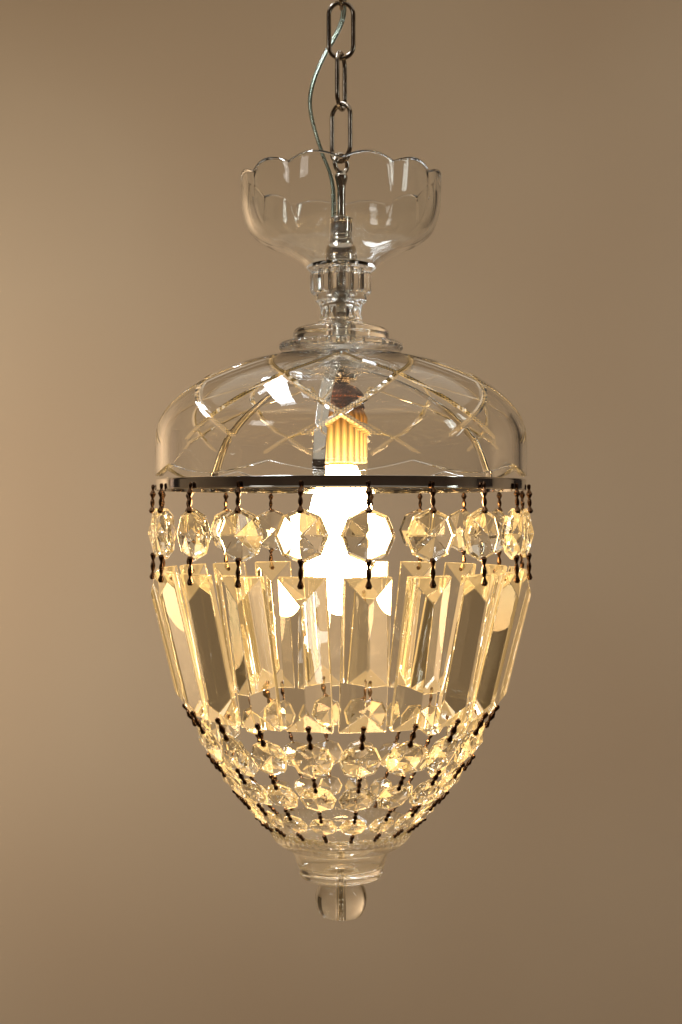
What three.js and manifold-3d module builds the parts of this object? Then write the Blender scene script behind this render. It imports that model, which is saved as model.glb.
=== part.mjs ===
// A small cut-glass bag chandelier that hangs from a ceiling on a short chain, in millimetres, +Z up.
// The origin is the middle of the ceiling plate's top face, where the light is fixed.
// Places round the light are angles from the front (-Y) towards +X.
import * as THREE from "three";
import { ConvexGeometry } from "three/addons/geometries/ConvexGeometry.js";
import { mergeVertices } from "three/addons/utils/BufferGeometryUtils.js";
import Module from "manifold-3d";

const wasm = await Module();
wasm.setup();

// ---- Driving dimensions ----
const CLEARANCE = 0.3; // between pieces that touch
const PLATE = { radius: 24, thickness: 3, postRadius: 5.5, postLength: 15 };
const CANOPY = { radius: 35, depth: 24, wall: 1.2, floorRadius: 24 };
const CANOPY_LOOP = {
  wire: 3, ringRadius: 5.5, collarRadius: 6, collarHeight: 2, shankRadius: 2.5, shankLength: 10,
};
const BUSH = { radius: 4, flangeRadius: 5.2, flangeHeight: 1.2, place: [2, 14.5] };
const TERMINAL = { width: 16, depth: 9, height: 8 };
const LINK = { length: 32.3, width: 15.5, wire: 2.5, yaws: [90, 0, 72, -42] };
const CABLE = { radius: 1.7 };
const EYE = { wire: 2.5, ringRadius: 4.75, rodRadius: 2.4, rodLength: 29.5, yaw: 48 };
const COUPLING = { radius: 6, height: 10, wall: 0.9, floor: 4 };
const BOWL_NUT = { radius: 9, height: 13, neckRadius: 6.5 };
const TUBE = { radius: 5, bore: 3.2, intoNut: 7, belowHub: 7 };
const BOWL = { rimRadius: 53.7, height: 46.5, footRadius: 18, wall: 3, lobes: 12, lobeDepth: 2.6 };
const SPINDLE = {
  collarRadius: 16.3, collarHeight: 13, stepRadius: 14, stepHeight: 4, neckRadius: 11, neckHeight: 13,
  shoulderRadius: 25.6, shoulderHeight: 9, flangeRadius: 33, flangeHeight: 4, flutes: 20, fluteDepth: 0.9,
};
const DOME = {
  radius: 98, crownHeight: 49.4, skirtHeight: 17.2, roundness: 2.08, wall: 4, lobes: 9, lobeDepth: 5.2,
};
const RING = { height: 5.6, thickness: 1, belowDome: 2 }; // as wide as the dome
const HUB = { radius: 15, thickness: 2.5 };
const STRAP = { count: 3, firstAngle: -6.4, width: 6, thickness: 1.2, fromBore: 2.2, insideDome: 4 };
const LOCKNUT = { acrossFlats: 17, height: 4 };
const HOLDER = {
  capRadius: 12.3, capHeight: 13.9, topGap: 3.4, skirtRadius: 14, skirtHeight: 29.2, wall: 1.6,
  coreDrop: 6, ribs: 24, ribDepth: 0.7,
};
const BULB = {
  radius: 17.5, glassLength: 81, wall: 1.2, capRadius: 7, capLength: 24, neckRadius: 8.4, roundness: 2.3,
};
const STRANDS = { count: 20, firstAngle: 7.3 };
const CRYSTAL = { size: 25.5, thickness: 9.5, girdle: 1.6 };
const PRISM = { length: 75.7, width: 22.5, edge: 2.7, thickness: 8.4, hip: 11.5 };
const PIN = { width: 2.2, thickness: 1.1, top: 9, middle: 6.3 };
const ROWS = [
  { size: 19.6, pinAbove: 6.6, tilt: 22.5 },
  { size: 17, pinAbove: 6, tilt: 35.2 },
  { size: 12.9, pinAbove: 5.6, tilt: 38.8 },
];
const BEAD_STRETCH = 1.07; // the basket's beads are a little wider than tall
const ROW_WIRE = 1.2; // the wire that bridges the crystals of one row
const HANG = { crystalTilt: 1.5, middleTilt: 5, prismTilt: 13.75 }; // how far each stretch leans in
const LAST_PIN = { length: 5, tilt: 38.8 };
const DISH = {
  rimInset: 0.9, rimWidth: 8.8, rimHeight: 10.7, stepWidth: 7.5, stepHeight: 14.1, footHeight: 3, wall: 2.6,
};
const BALL = { radius: 13.8, neckRadius: 9, neckHeight: 1.6, flat: 5 };
const BOLT = { radius: 1.5, headRadius: 7, headHeight: 2 };
const FINIAL_NUT = { radius: 5.5, height: 1.6 };

const METAL = { color: 0xc9c4ba, roughness: 0.18, metalness: 1 };
const BRONZE = { color: 0x4a3320, roughness: 0.35, metalness: 1 };
const GLASS = { color: 0xeef0ea, roughness: 0.03, metalness: 0, transparent: true, opacity: 0.35 };
const CRYSTAL_GLASS = { color: 0xfff3d8, roughness: 0.02, metalness: 0, transparent: true, opacity: 0.4 };
const LIT_GLASS = { color: 0xfff0cc, roughness: 0.4, metalness: 0, emissive: 0xffcf7a };
const PLASTIC = { color: 0xf2dfb4, roughness: 0.4, metalness: 0 };
const COPPER = { color: 0x5a3a26, roughness: 0.3, metalness: 1 };

const light = new THREE.Group();
const radians = THREE.MathUtils.degToRad;

// ---- Making solids ----

// A closed geometry as a solid with its faces out: shared vertices merged and flat triangles dropped.
function solid(geometry) {
  const bare = geometry.clone();
  bare.deleteAttribute("normal");
  bare.deleteAttribute("uv");
  const merged = mergeVertices(bare, 1e-3);
  const at = merged.attributes.position;
  const corners = [];
  const index = merged.index.array;
  for (let i = 0; i < index.length; i += 3) {
    const [a, b, c] = [index[i], index[i + 1], index[i + 2]];
    if (a !== b && b !== c && a !== c) corners.push(a, b, c);
  }
  const build = (triangles) =>
    new wasm.Manifold(
      new wasm.Mesh({ numProp: 3, vertProperties: at.array, triVerts: new Uint32Array(triangles) }),
    );
  const made = build(corners);
  if (made.volume() > 0) return made;
  for (let i = 0; i < corners.length; i += 3) {
    [corners[i + 1], corners[i + 2]] = [corners[i + 2], corners[i + 1]];
  }
  return build(corners);
}

const joined = (parts) => parts.reduce((whole, next) => whole.add(next));

function geometryOf(shape) {
  const { vertProperties, triVerts, numProp } = shape.getMesh();
  const points = new Float32Array((vertProperties.length / numProp) * 3);
  for (let i = 0; i < points.length / 3; i += 1) {
    points.set(vertProperties.subarray(i * numProp, i * numProp + 3), i * 3);
  }
  const geometry = new THREE.BufferGeometry();
  geometry.setAttribute("position", new THREE.BufferAttribute(points, 3));
  geometry.setIndex(new THREE.BufferAttribute(new Uint32Array(triVerts), 1));
  return geometry;
}

// Adds one sub-part to the light, placed by its own position and turn about Z.
function add(name, shape, look, { z = 0, turn = 0 } = {}) {
  const geometry = geometryOf(shape).toNonIndexed();
  geometry.computeVertexNormals();
  const mesh = new THREE.Mesh(geometry, new THREE.MeshStandardMaterial(look));
  mesh.name = name;
  mesh.position.z = z;
  mesh.rotation.z = radians(turn);
  light.add(mesh);
  return mesh;
}

// A profile of [radius, height] pairs turned about Z. It closes on itself, or starts and ends on the axis.
function turnedGeometry(profile, segments) {
  const onAxis = profile[0][0] === 0 && profile.at(-1)[0] === 0;
  const points = (onAxis ? profile : [...profile, profile[0]]).map(([r, z]) => new THREE.Vector2(r, z));
  return new THREE.LatheGeometry(points, segments).rotateX(Math.PI / 2);
}

const turned = (profile, segments = 32) => solid(turnedGeometry(profile, segments));

// Moves each vertex of a turned geometry: move(angle, radius, height) gives the new radius and height.
function reshaped(geometry, move) {
  const at = geometry.attributes.position;
  for (let i = 0; i < at.count; i += 1) {
    const [x, y, z] = [at.getX(i), at.getY(i), at.getZ(i)];
    const radius = Math.hypot(x, y);
    const [newRadius, newZ] = move(Math.atan2(x, -y), radius, z);
    const share = radius > 0 ? newRadius / radius : 1;
    at.setXYZ(i, x * share, y * share, newZ);
  }
  return geometry;
}

function rod(radius, bottom, top, segments = 20) {
  const geometry = new THREE.CylinderGeometry(radius, radius, top - bottom, segments).rotateX(Math.PI / 2);
  return solid(geometry.translate(0, 0, (top + bottom) / 2));
}

function block(width, depth, bottom, top, centre = [0, 0]) {
  const geometry = new THREE.BoxGeometry(width, depth, top - bottom);
  return solid(geometry.translate(centre[0], centre[1], (top + bottom) / 2));
}

// A wire ring standing in the XZ plane, then turned about Z.
function wireRing(ringRadius, wire, centreZ, yaw) {
  const ring = new THREE.TorusGeometry(ringRadius, wire / 2, 8, 16).rotateX(Math.PI / 2);
  return solid(ring.rotateZ(radians(yaw)).translate(0, 0, centreZ));
}

// ---- Levels down the light: each one follows from the piece above ----
const canopyFloor = -CANOPY.depth;
const loopCentre = canopyFloor - CANOPY_LOOP.collarHeight - CANOPY_LOOP.ringRadius;
const loopContact = loopCentre - CANOPY_LOOP.ringRadius; // the middle of the wire that link 1 hangs on
const linkHalf = (LINK.length - LINK.wire) / 2; // from a link's middle to the middle of its end wire
const firstLinkCentre = loopContact + (CANOPY_LOOP.wire + LINK.wire) / 2 + CLEARANCE - linkHalf;
const linkPitch = 2 * linkHalf - LINK.wire - CLEARANCE;
const lastLinkContact = firstLinkCentre - (LINK.yaws.length - 1) * linkPitch - linkHalf;
const eyeCentre = lastLinkContact + (LINK.wire + EYE.wire) / 2 + CLEARANCE - EYE.ringRadius;
const rodBottom = eyeCentre - EYE.ringRadius - EYE.wire / 2 - EYE.rodLength;
const couplingFloor = rodBottom - CLEARANCE;
const couplingBottom = couplingFloor - COUPLING.floor;
const couplingTop = couplingBottom + COUPLING.height;
const nutTop = couplingBottom - CLEARANCE;
const nutBottom = nutTop - BOWL_NUT.height;
const bowlFoot = nutBottom - CLEARANCE - BOWL.wall; // the underside of the bowl
const spindleTop = bowlFoot - CLEARANCE;
const spindleHeight =
  SPINDLE.collarHeight + SPINDLE.stepHeight + SPINDLE.neckHeight +
  SPINDLE.shoulderHeight + SPINDLE.flangeHeight;
const domeTop = spindleTop - spindleHeight - CLEARANCE;
const domeShoulder = domeTop - DOME.crownHeight;
const domeRim = domeShoulder - DOME.skirtHeight;
const ringTop = domeRim - RING.belowDome;
const ringBottom = ringTop - RING.height;
const hubTop = domeTop - DOME.wall - CLEARANCE;
const hubBottom = hubTop - HUB.thickness;
const strapTop = hubBottom - CLEARANCE;
const locknutTop = strapTop - STRAP.thickness - CLEARANCE;
const tubeTop = nutBottom + TUBE.intoNut;
const tubeBottom = locknutTop - LOCKNUT.height - TUBE.belowHub;
const boreRadius = TUBE.radius + CLEARANCE;
const holderTop = locknutTop - LOCKNUT.height - HOLDER.topGap;
const skirtTop = holderTop - HOLDER.capHeight - CLEARANCE;
const skirtBottom = skirtTop - HOLDER.skirtHeight;

// ---- Ceiling fitting ----
function ceilingPlate() {
  const plate = rod(PLATE.radius, -PLATE.thickness, 0, 32);
  const post = rod(PLATE.postRadius, -PLATE.thickness - PLATE.postLength, -PLATE.thickness / 2);
  const bottom = -PLATE.thickness - PLATE.postLength;
  const bore = rod(CANOPY_LOOP.shankRadius + CLEARANCE, bottom - 1, bottom + CANOPY_LOOP.shankLength);
  return joined([plate, post]).subtract(bore);
}

function canopy() {
  const hole = CANOPY_LOOP.shankRadius + CLEARANCE;
  const { radius, wall, floorRadius } = CANOPY;
  const bend = radius - floorRadius;
  const outer = [];
  const inner = [];
  for (let i = 0; i <= 4; i += 1) {
    const a = (i / 4) * (Math.PI / 2);
    outer.push([floorRadius + bend * Math.cos(a), canopyFloor + bend * (1 - Math.sin(a))]);
    const inside = bend - wall;
    inner.unshift([floorRadius + inside * Math.cos(a), canopyFloor + wall + inside * (1 - Math.sin(a))]);
  }
  const rim = -CLEARANCE;
  const profile = [[radius, rim], ...outer, [hole, canopyFloor], [hole, canopyFloor + wall], ...inner];
  const shell = turned([...profile, [radius - wall, rim]], 28);
  const [x, y] = BUSH.place;
  const drill = rod(BUSH.radius + CLEARANCE, canopyFloor - 1, canopyFloor + wall + 1);
  const cableHole = drill.translate([x, y, 0]);
  return shell.subtract(cableHole);
}

function canopyLoop() {
  const { collarRadius, shankRadius, shankLength, ringRadius, wire } = CANOPY_LOOP;
  const collarTop = canopyFloor - CLEARANCE;
  const shankTop = -PLATE.thickness - PLATE.postLength + shankLength - CLEARANCE;
  const shank = rod(shankRadius, collarTop - 1, shankTop);
  const collar = rod(collarRadius, collarTop - CANOPY_LOOP.collarHeight, collarTop);
  return joined([shank, collar, wireRing(ringRadius, wire, loopCentre, 0)]);
}

function cableBush() {
  const { radius, flangeRadius, flangeHeight } = BUSH;
  const bore = CABLE.radius + CLEARANCE;
  const below = canopyFloor - CLEARANCE;
  const above = canopyFloor + CANOPY.wall + 1.5;
  const profile = [
    [bore, below - flangeHeight], [flangeRadius, below - flangeHeight], [flangeRadius, below],
    [radius, below],
    [radius, above], [bore, above],
  ];
  return turned(profile, 16).translate([BUSH.place[0], BUSH.place[1], 0]);
}

const terminalBottom = canopyFloor + CANOPY.wall + 5;
const terminalBlock = () =>
  block(TERMINAL.width, TERMINAL.depth, terminalBottom, terminalBottom + TERMINAL.height, BUSH.place);

// ---- Chain and cable ----

// The middle line of a chain link in the XZ plane: two straight sides and two half circles.
class LinkCurve extends THREE.Curve {
  constructor() {
    super();
    this.bend = (LINK.width - LINK.wire) / 2;
    this.side = 2 * (linkHalf - this.bend);
  }
  getPoint(t) {
    const arc = Math.PI * this.bend;
    const whole = 2 * (this.side + arc);
    const seam = CLEARANCE / 2;
    let s = seam + t * (whole - 2 * seam) + this.side / 2;
    const half = whole / 2;
    const flip = s % whole >= half ? -1 : 1;
    s %= half;
    if (s <= this.side) return new THREE.Vector3(flip * this.bend, 0, flip * (s - this.side / 2));
    const a = (s - this.side) / this.bend;
    const rise = this.side / 2 + this.bend * Math.sin(a);
    return new THREE.Vector3(flip * this.bend * Math.cos(a), 0, flip * rise);
  }
}

function disc(radius, sides) {
  const outline = new THREE.Shape();
  for (let i = 0; i < sides; i += 1) {
    const a = ((i + 0.5) / sides) * 2 * Math.PI;
    if (i === 0) outline.moveTo(radius * Math.cos(a), radius * Math.sin(a));
    else outline.lineTo(radius * Math.cos(a), radius * Math.sin(a));
  }
  return outline;
}

function alongCurve(curve, radius, sides, steps) {
  const settings = { steps, bevelEnabled: false, extrudePath: curve };
  return solid(new THREE.ExtrudeGeometry(disc(radius, sides), settings));
}

// The flex comes out of the bush and hangs behind the first two links. It bows out to the left and ends at
// the coupling.
const CABLE_POINTS = [
  [2, 14.5, -18], [2, 14.5, -24], [2, 14.3, -30], [1.9, 13.6, -38], [1.6, 12.2, -47], [1.4, 11.1, -56],
  [1, 10.2, -65], [-2.4, 9.4, -74], [-8.3, 8, -85], [-12.6, 5.6, -95], [-15.6, 3.4, -105], [-16.6, 1.8, -113],
  [-15.9, 0.6, -121], [-14, -0.4, -129], [-11.4, -1.4, -137.5], [-8.3, -2, -145.5], [-5.6, -2.4, -153],
  [-4.2, -2.6, -161.5], [-3.9, -2.6, -169], [-3.9, -2.6, -176],
];

function powerCable() {
  const points = CABLE_POINTS.map(([x, y, z]) => new THREE.Vector3(x, y, z));
  points[0].z = terminalBottom - CLEARANCE;
  points.at(-1).z = couplingTop + CLEARANCE;
  return alongCurve(new THREE.CatmullRomCurve3(points, false, "centripetal"), CABLE.radius, 8, 32);
}

// ---- Stem ----
function stemLoop() {
  const shaft = rod(EYE.rodRadius, rodBottom, eyeCentre - EYE.ringRadius);
  return joined([wireRing(EYE.ringRadius, EYE.wire, eyeCentre, EYE.yaw), shaft]);
}

const stemCoupling = () =>
  turned([
    [0, couplingBottom], [COUPLING.radius, couplingBottom], [COUPLING.radius, couplingTop],
    [COUPLING.radius - COUPLING.wall, couplingTop], [COUPLING.radius - COUPLING.wall, couplingFloor],
    [0, couplingFloor],
  ], 20);

function bowlNut() {
  const { radius, neckRadius } = BOWL_NUT;
  const rise = nutTop - nutBottom;
  const profile = [
    [0, tubeTop + CLEARANCE], [boreRadius, tubeTop + CLEARANCE], [boreRadius, nutBottom], [radius, nutBottom],
  ];
  for (let i = 0; i <= 4; i += 1) {
    const a = (i / 4) * (Math.PI / 2);
    const high = nutBottom + rise * (0.25 + 0.6 * Math.sin(a));
    profile.push([neckRadius + (radius - neckRadius) * Math.cos(a), high]);
  }
  return turned([...profile, [neckRadius, nutTop], [0, nutTop]], 18);
}

const stemTube = () =>
  turned([
    [TUBE.bore, tubeBottom], [TUBE.radius, tubeBottom], [TUBE.radius, tubeTop], [TUBE.bore, tubeTop],
  ], 20);

// ---- Top bowl, spindle and dome ----

// How high a scalloped rim stands at an angle, from 0 in a notch to 1 on a lobe. A lobe is at the start.
const onLobe = (angle, lobes, start) => Math.abs(Math.cos((lobes / 2) * (angle - start)));

function topBowl() {
  const { rimRadius, height, footRadius, wall, lobes, lobeDepth } = BOWL;
  const bottom = bowlFoot;
  const rim = bottom + height + wall;
  const reach = rimRadius - footRadius;
  const outside = [
    [footRadius, bottom], [footRadius + 0.1 * reach, bottom + 0.1 * height],
    [footRadius + 0.36 * reach, bottom + 0.22 * height],
    [footRadius + 0.68 * reach, bottom + 0.32 * height], [footRadius + 0.88 * reach, bottom + 0.43 * height],
    [rimRadius - 0.8, bottom + 0.64 * height], [rimRadius, rim],
  ];
  const inside = outside.slice(1).reverse().map(([r, z], i) => {
    const isLow = i > 2;
    return [r - wall * (isLow ? 0.55 : 1), z + (isLow ? 0.8 * wall : 0)];
  });
  const profile = [
    [boreRadius, bottom], ...outside, ...inside,
    [footRadius * 0.8, bottom + wall], [boreRadius, bottom + wall],
  ];
  const geometry = reshaped(turnedGeometry(profile, 3 * lobes), (angle, r, z) => {
    const high = Math.max(0, (z - bottom) / height - 0.3) / 0.7;
    const drop = lobeDepth * high * (1 - onLobe(angle, lobes, radians(15)));
    return [r, z - drop];
  });
  return solid(geometry);
}

function glassSpindle() {
  const s = SPINDLE;
  const stepTop = spindleTop - s.collarHeight;
  const neckTop = stepTop - s.stepHeight;
  const shoulderTop = neckTop - s.neckHeight;
  const flangeTop = shoulderTop - s.shoulderHeight;
  const bottom = flangeTop - s.flangeHeight;
  const profile = [
    [boreRadius, bottom], [s.flangeRadius, bottom], [s.flangeRadius, flangeTop],
    [s.shoulderRadius, flangeTop],
    [s.shoulderRadius, flangeTop + 0.6 * s.shoulderHeight], [s.shoulderRadius - 5, shoulderTop],
    [s.neckRadius + 2.5, shoulderTop + 0.5], [s.neckRadius, shoulderTop + 0.3 * s.neckHeight],
    [s.neckRadius, shoulderTop + 0.7 * s.neckHeight], [s.stepRadius, neckTop], [s.stepRadius, stepTop],
    [s.collarRadius, stepTop], [s.collarRadius, spindleTop], [boreRadius, spindleTop],
  ];
  const geometry = reshaped(turnedGeometry(profile, 2 * s.flutes), (angle, r, z) => {
    const fluted = z > stepTop - 0.1 && r > s.collarRadius - 0.1;
    return [fluted ? r - s.fluteDepth * (1 - onLobe(angle, s.flutes, 0)) : r, z];
  });
  return solid(geometry);
}

// A quarter of a rounded ellipse from its top middle to its side: [radius, height] pairs from startRadius.
function crown(radius, height, startRadius, shoulder, steps) {
  const first = Math.asin(Math.pow(startRadius / radius, DOME.roundness / 2));
  const points = [];
  for (let i = 0; i <= steps; i += 1) {
    const a = first + (i / steps) * (Math.PI / 2 - first);
    const power = 2 / DOME.roundness;
    const side = i === steps ? 0 : Math.pow(Math.cos(a), power);
    points.push([radius * Math.pow(Math.sin(a), power), shoulder + height * side]);
  }
  return points;
}

function cutGlassDome() {
  const { radius, crownHeight, wall, lobes, lobeDepth } = DOME;
  const flat = SPINDLE.flangeRadius * 0.7;
  const outside = crown(radius, crownHeight, flat, domeShoulder, 7);
  const inside = crown(radius - wall, crownHeight - wall, flat, domeShoulder, 7).reverse();
  outside[0][1] = domeTop;
  inside.at(-1)[1] = domeTop - wall;
  const middle = (domeShoulder + domeRim) / 2;
  const profile = [
    [boreRadius, domeTop], ...outside, [radius, middle], [radius, domeRim], [radius - wall, domeRim],
    [radius - wall, middle], ...inside, [boreRadius, domeTop - wall],
  ];
  const geometry = reshaped(turnedGeometry(profile, 4 * lobes), (angle, r, z) => {
    const low = Math.max(0, (middle - z) / (middle - domeRim));
    return [r, z + low * lobeDepth * (1 - onLobe(angle, lobes, 0))];
  });
  return solid(geometry);
}

// ---- Frame ----
const frameHub = () =>
  turned([[boreRadius, hubBottom], [HUB.radius, hubBottom], [HUB.radius, hubTop], [boreRadius, hubTop]], 28);

const crystalRing = () => {
  const inside = DOME.radius - RING.thickness;
  return turned([
    [inside, ringBottom], [DOME.radius, ringBottom], [DOME.radius, ringTop], [inside, ringTop],
  ], 60);
};

// One flat strap in the plane x = 0, from under the hub out to the ring's inner face, towards -Y.
function frameStrap() {
  const foot = DOME.radius - RING.thickness - 2 * CLEARANCE;
  const knee = DOME.radius - DOME.wall - STRAP.insideDome;
  const high = strapTop - ringTop;
  const outerLine = [
    [boreRadius + STRAP.fromBore, strapTop], [HUB.radius + 6, strapTop], [knee * 0.5, ringTop + high * 0.86],
    [knee * 0.72, ringTop + high * 0.66], [knee * 0.9, ringTop + high * 0.4], [knee, ringTop + high * 0.12],
    [knee + 0.6, ringTop + 1.2], [foot, ringTop - 1.5], [foot, ringBottom + 0.5],
  ];
  const line = outerLine.map(([r, z]) => new THREE.Vector2(r, z));
  const offset = line.map((p, i) => {
    const ahead = line[Math.min(i + 1, line.length - 1)].clone().sub(line[Math.max(i - 1, 0)]).normalize();
    return new THREE.Vector2(p.x + ahead.y * STRAP.thickness, p.y - ahead.x * STRAP.thickness);
  });
  const outline = new THREE.Shape([...line, ...offset.reverse()]);
  const flat = new THREE.ExtrudeGeometry(outline, { depth: STRAP.width, bevelEnabled: false });
  flat.translate(0, 0, -STRAP.width / 2).rotateX(Math.PI / 2).rotateZ(-Math.PI / 2);
  return solid(flat);
}

function hubLocknut() {
  const radius = LOCKNUT.acrossFlats / 2 / Math.cos(Math.PI / 6);
  return rod(radius, locknutTop - LOCKNUT.height, locknutTop, 6).subtract(
    rod(boreRadius, locknutTop - LOCKNUT.height - 1, locknutTop + 1),
  );
}

// ---- Lampholder and bulb ----
function lampholderCap() {
  const { capRadius, capHeight, wall } = HOLDER;
  const bottom = holderTop - capHeight;
  const floor = tubeBottom - CLEARANCE;
  return turned([
    [boreRadius, holderTop], [capRadius * 0.72, holderTop], [capRadius, holderTop - 0.28 * capHeight],
    [capRadius, bottom], [capRadius - wall, bottom], [capRadius - wall, floor - wall],
    [TUBE.bore, floor - wall], [TUBE.bore, floor], [boreRadius, floor],
  ].reverse(), 24);
}

const coreBottom = skirtTop - HOLDER.coreDrop;
const coreTop = holderTop - HOLDER.capHeight + 1;
const bulbCapTop = coreBottom - CLEARANCE;
const lampholderCore = () => rod(HOLDER.capRadius - HOLDER.wall - CLEARANCE, coreBottom, coreTop, 24);

function lampholderSkirt() {
  const { skirtRadius, wall, ribs, ribDepth, capRadius } = HOLDER;
  const throat = capRadius - wall;
  const profile = [
    [skirtRadius - wall, skirtBottom], [skirtRadius, skirtBottom], [skirtRadius, skirtTop - 3],
    [capRadius, skirtTop], [throat, skirtTop], [throat, coreBottom],
  ];
  const geometry = reshaped(turnedGeometry(profile, 2 * ribs), (angle, r, z) => {
    const ribbed = r > skirtRadius - 0.1;
    return [ribbed ? r - ribDepth * (1 - onLobe(angle, ribs, 0)) : r, z];
  });
  return solid(geometry);
}

const bulbCap = () =>
  turned([
    [0, bulbCapTop - BULB.capLength], [BULB.capRadius, bulbCapTop - BULB.capLength],
    [BULB.capRadius, bulbCapTop - 3],
    [3, bulbCapTop], [0, bulbCapTop],
  ], 24);

// A candle bulb of thin glass, open at its neck: it swells to its widest and closes in a rounded tip.
function bulbGlass() {
  const { radius, glassLength, neckRadius, roundness, wall } = BULB;
  const top = bulbCapTop - BULB.capLength - CLEARANCE;
  const bottom = skirtBottom - glassLength;
  const widest = top - (top - bottom) * 0.4;
  const skin = (inset) => {
    const line = [];
    for (let i = 0; i <= 7; i += 1) {
      const a = (1 - i / 7) * (Math.PI / 2);
      const share = i === 0 ? 0 : Math.pow(Math.cos(a), 2 / roundness);
      line.push([(radius - inset) * share, widest + (bottom + inset - widest) * Math.sin(a)]);
    }
    for (let i = 1; i <= 4; i += 1) {
      const swell = Math.sin(((1 - i / 4) * Math.PI) / 2);
      line.push([neckRadius + (radius - neckRadius) * swell - inset, widest + ((top - widest) * i) / 4]);
    }
    return line;
  };
  return turned([...skin(0), ...skin(wall).reverse()], 20);
}

// ---- Crystal strands and basket ----

// The line that a strand hangs on, in the plane of one strand: each stop is [radius, height].
const down = (from, length, tilt) => [
  from[0] - length * Math.sin(radians(tilt)),
  from[1] - length * Math.cos(radians(tilt)),
];
const strandTop = [DOME.radius - RING.thickness / 2, ringBottom - CLEARANCE];
const crystalTop = down(strandTop, PIN.top, HANG.crystalTilt);
const crystalBottom = down(crystalTop, CRYSTAL.size, HANG.crystalTilt);
const prismTop = down(crystalBottom, PIN.middle, HANG.middleTilt);
const prismBottom = down(prismTop, PRISM.length, HANG.prismTilt);
const rowStops = [];
let stop = prismBottom;
for (const row of ROWS) {
  const top = down(stop, row.pinAbove, row.tilt);
  const bottom = down(top, row.size, row.tilt);
  rowStops.push({ from: stop, top, bottom, centre: down(top, row.size / 2, row.tilt) });
  stop = bottom;
}
const dishHook = down(stop, LAST_PIN.length, LAST_PIN.tilt);

// Places a convex piece made round the origin, its outer face towards -Y, on a stop at radius and height.
function hung(points, [radius, z], tilt) {
  const geometry = new ConvexGeometry(points.map(([x, y, h]) => new THREE.Vector3(x, y, h)));
  return solid(geometry.rotateX(radians(tilt)).translate(0, -radius, z));
}

// An eight-sided crystal: a thin girdle, and facets that rise to the middle of both faces.
function octagon(size, thickness, centre, tilt, stretch = 1) {
  const points = [[0, -thickness / 2, 0], [0, thickness / 2, 0]];
  for (let i = 0; i < 8; i += 1) {
    const a = (i / 8) * 2 * Math.PI;
    for (const side of [-1, 1]) {
      const [x, h] = [(size / 2) * stretch * Math.sin(a), (size / 2) * Math.cos(a)];
      points.push([x, (side * CRYSTAL.girdle) / 2, h]);
    }
  }
  return hung(points, centre, tilt);
}

// A roof-shaped prism: a flat back, thin edges, a ridge down the front and a sloping facet at each end.
function prism(centre) {
  const { length, width, edge, thickness, hip } = PRISM;
  const points = [];
  for (const x of [-width / 2, width / 2]) {
    for (const z of [-length / 2, length / 2]) {
      points.push([x, edge / 2, z], [x, -edge / 2, z]);
    }
  }
  const ridge = edge / 2 - thickness;
  points.push([0, ridge, length / 2 - hip], [0, ridge, hip - length / 2]);
  return hung(points, centre, HANG.prismTilt);
}

// A flat pin between two stops; it reaches a little into whatever it is joined to at the ends that say so.
function pin(from, to, reachFrom, reachTo) {
  const run = new THREE.Vector2(to[0] - from[0], to[1] - from[1]);
  const length = run.length() + reachFrom + reachTo;
  const tilt = THREE.MathUtils.radToDeg(Math.atan2(-run.x, -run.y));
  const middle = down(from, (run.length() + reachTo - reachFrom) / 2, tilt);
  const [w, t, h] = [PIN.width / 2, PIN.thickness / 2, length / 2];
  const corners = [-1, 1].flatMap((a) => [-1, 1].flatMap((b) => [-1, 1].map((c) => [a * w, b * t, c * h])));
  return hung(corners, middle, tilt);
}

const PIN_REACH = 2.5; // how far a pin reaches into the piece that it is joined to

function crystalStrand() {
  return joined([
    pin(strandTop, crystalTop, 0, PIN_REACH),
    octagon(
      CRYSTAL.size, CRYSTAL.thickness, down(crystalTop, CRYSTAL.size / 2, HANG.crystalTilt), HANG.crystalTilt,
    ),
    pin(crystalBottom, prismTop, PIN_REACH, PIN_REACH),
    prism(down(prismTop, PRISM.length / 2, HANG.prismTilt)),
  ]);
}

// One row of the basket: every column's crystal with the pin that hangs below it, bridged by a thin wire.
function basketRow(number) {
  const row = ROWS[number];
  const { top, bottom, centre } = rowStops[number];
  const thickness = (CRYSTAL.thickness * row.size) / CRYSTAL.size;
  const next = number + 1 < ROWS.length ? rowStops[number + 1].top : dishHook;
  const pieces = [octagon(row.size, thickness, centre, row.tilt, BEAD_STRETCH)];
  pieces.push(pin(bottom, down(next, -CLEARANCE, row.tilt), PIN_REACH, -CLEARANCE));
  if (number === 0) pieces.push(pin(down(prismBottom, 2 * CLEARANCE, row.tilt), top, 0, PIN_REACH));
  const column = joined(pieces);
  const half = ROW_WIRE / 2;
  const [r, z] = centre;
  const section = [[r - half, z - half], [r + half, z - half], [r + half, z + half], [r - half, z + half]];
  const wire = turned(section, STRANDS.count);
  const step = 360 / STRANDS.count;
  const copies = Array.from({ length: STRANDS.count }, (_, i) => column.rotate([0, 0, i * step]));
  return joined([...copies, wire]).rotate([0, 0, STRANDS.firstAngle]);
}

// ---- Bottom dish and finial ----
const dishTop = dishHook[1] - 2 * CLEARANCE;
const dishRim = dishHook[0] - DISH.rimInset;
const stepZ = dishTop - DISH.rimHeight;
const footTop = stepZ - DISH.stepHeight;
const dishBottom = footTop - DISH.footHeight;
const stepRadius = dishRim - DISH.rimWidth;
const footRadius = stepRadius - DISH.stepWidth;
const boltHole = BOLT.radius + CLEARANCE;
const dishFloor = footTop + DISH.wall;

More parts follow.
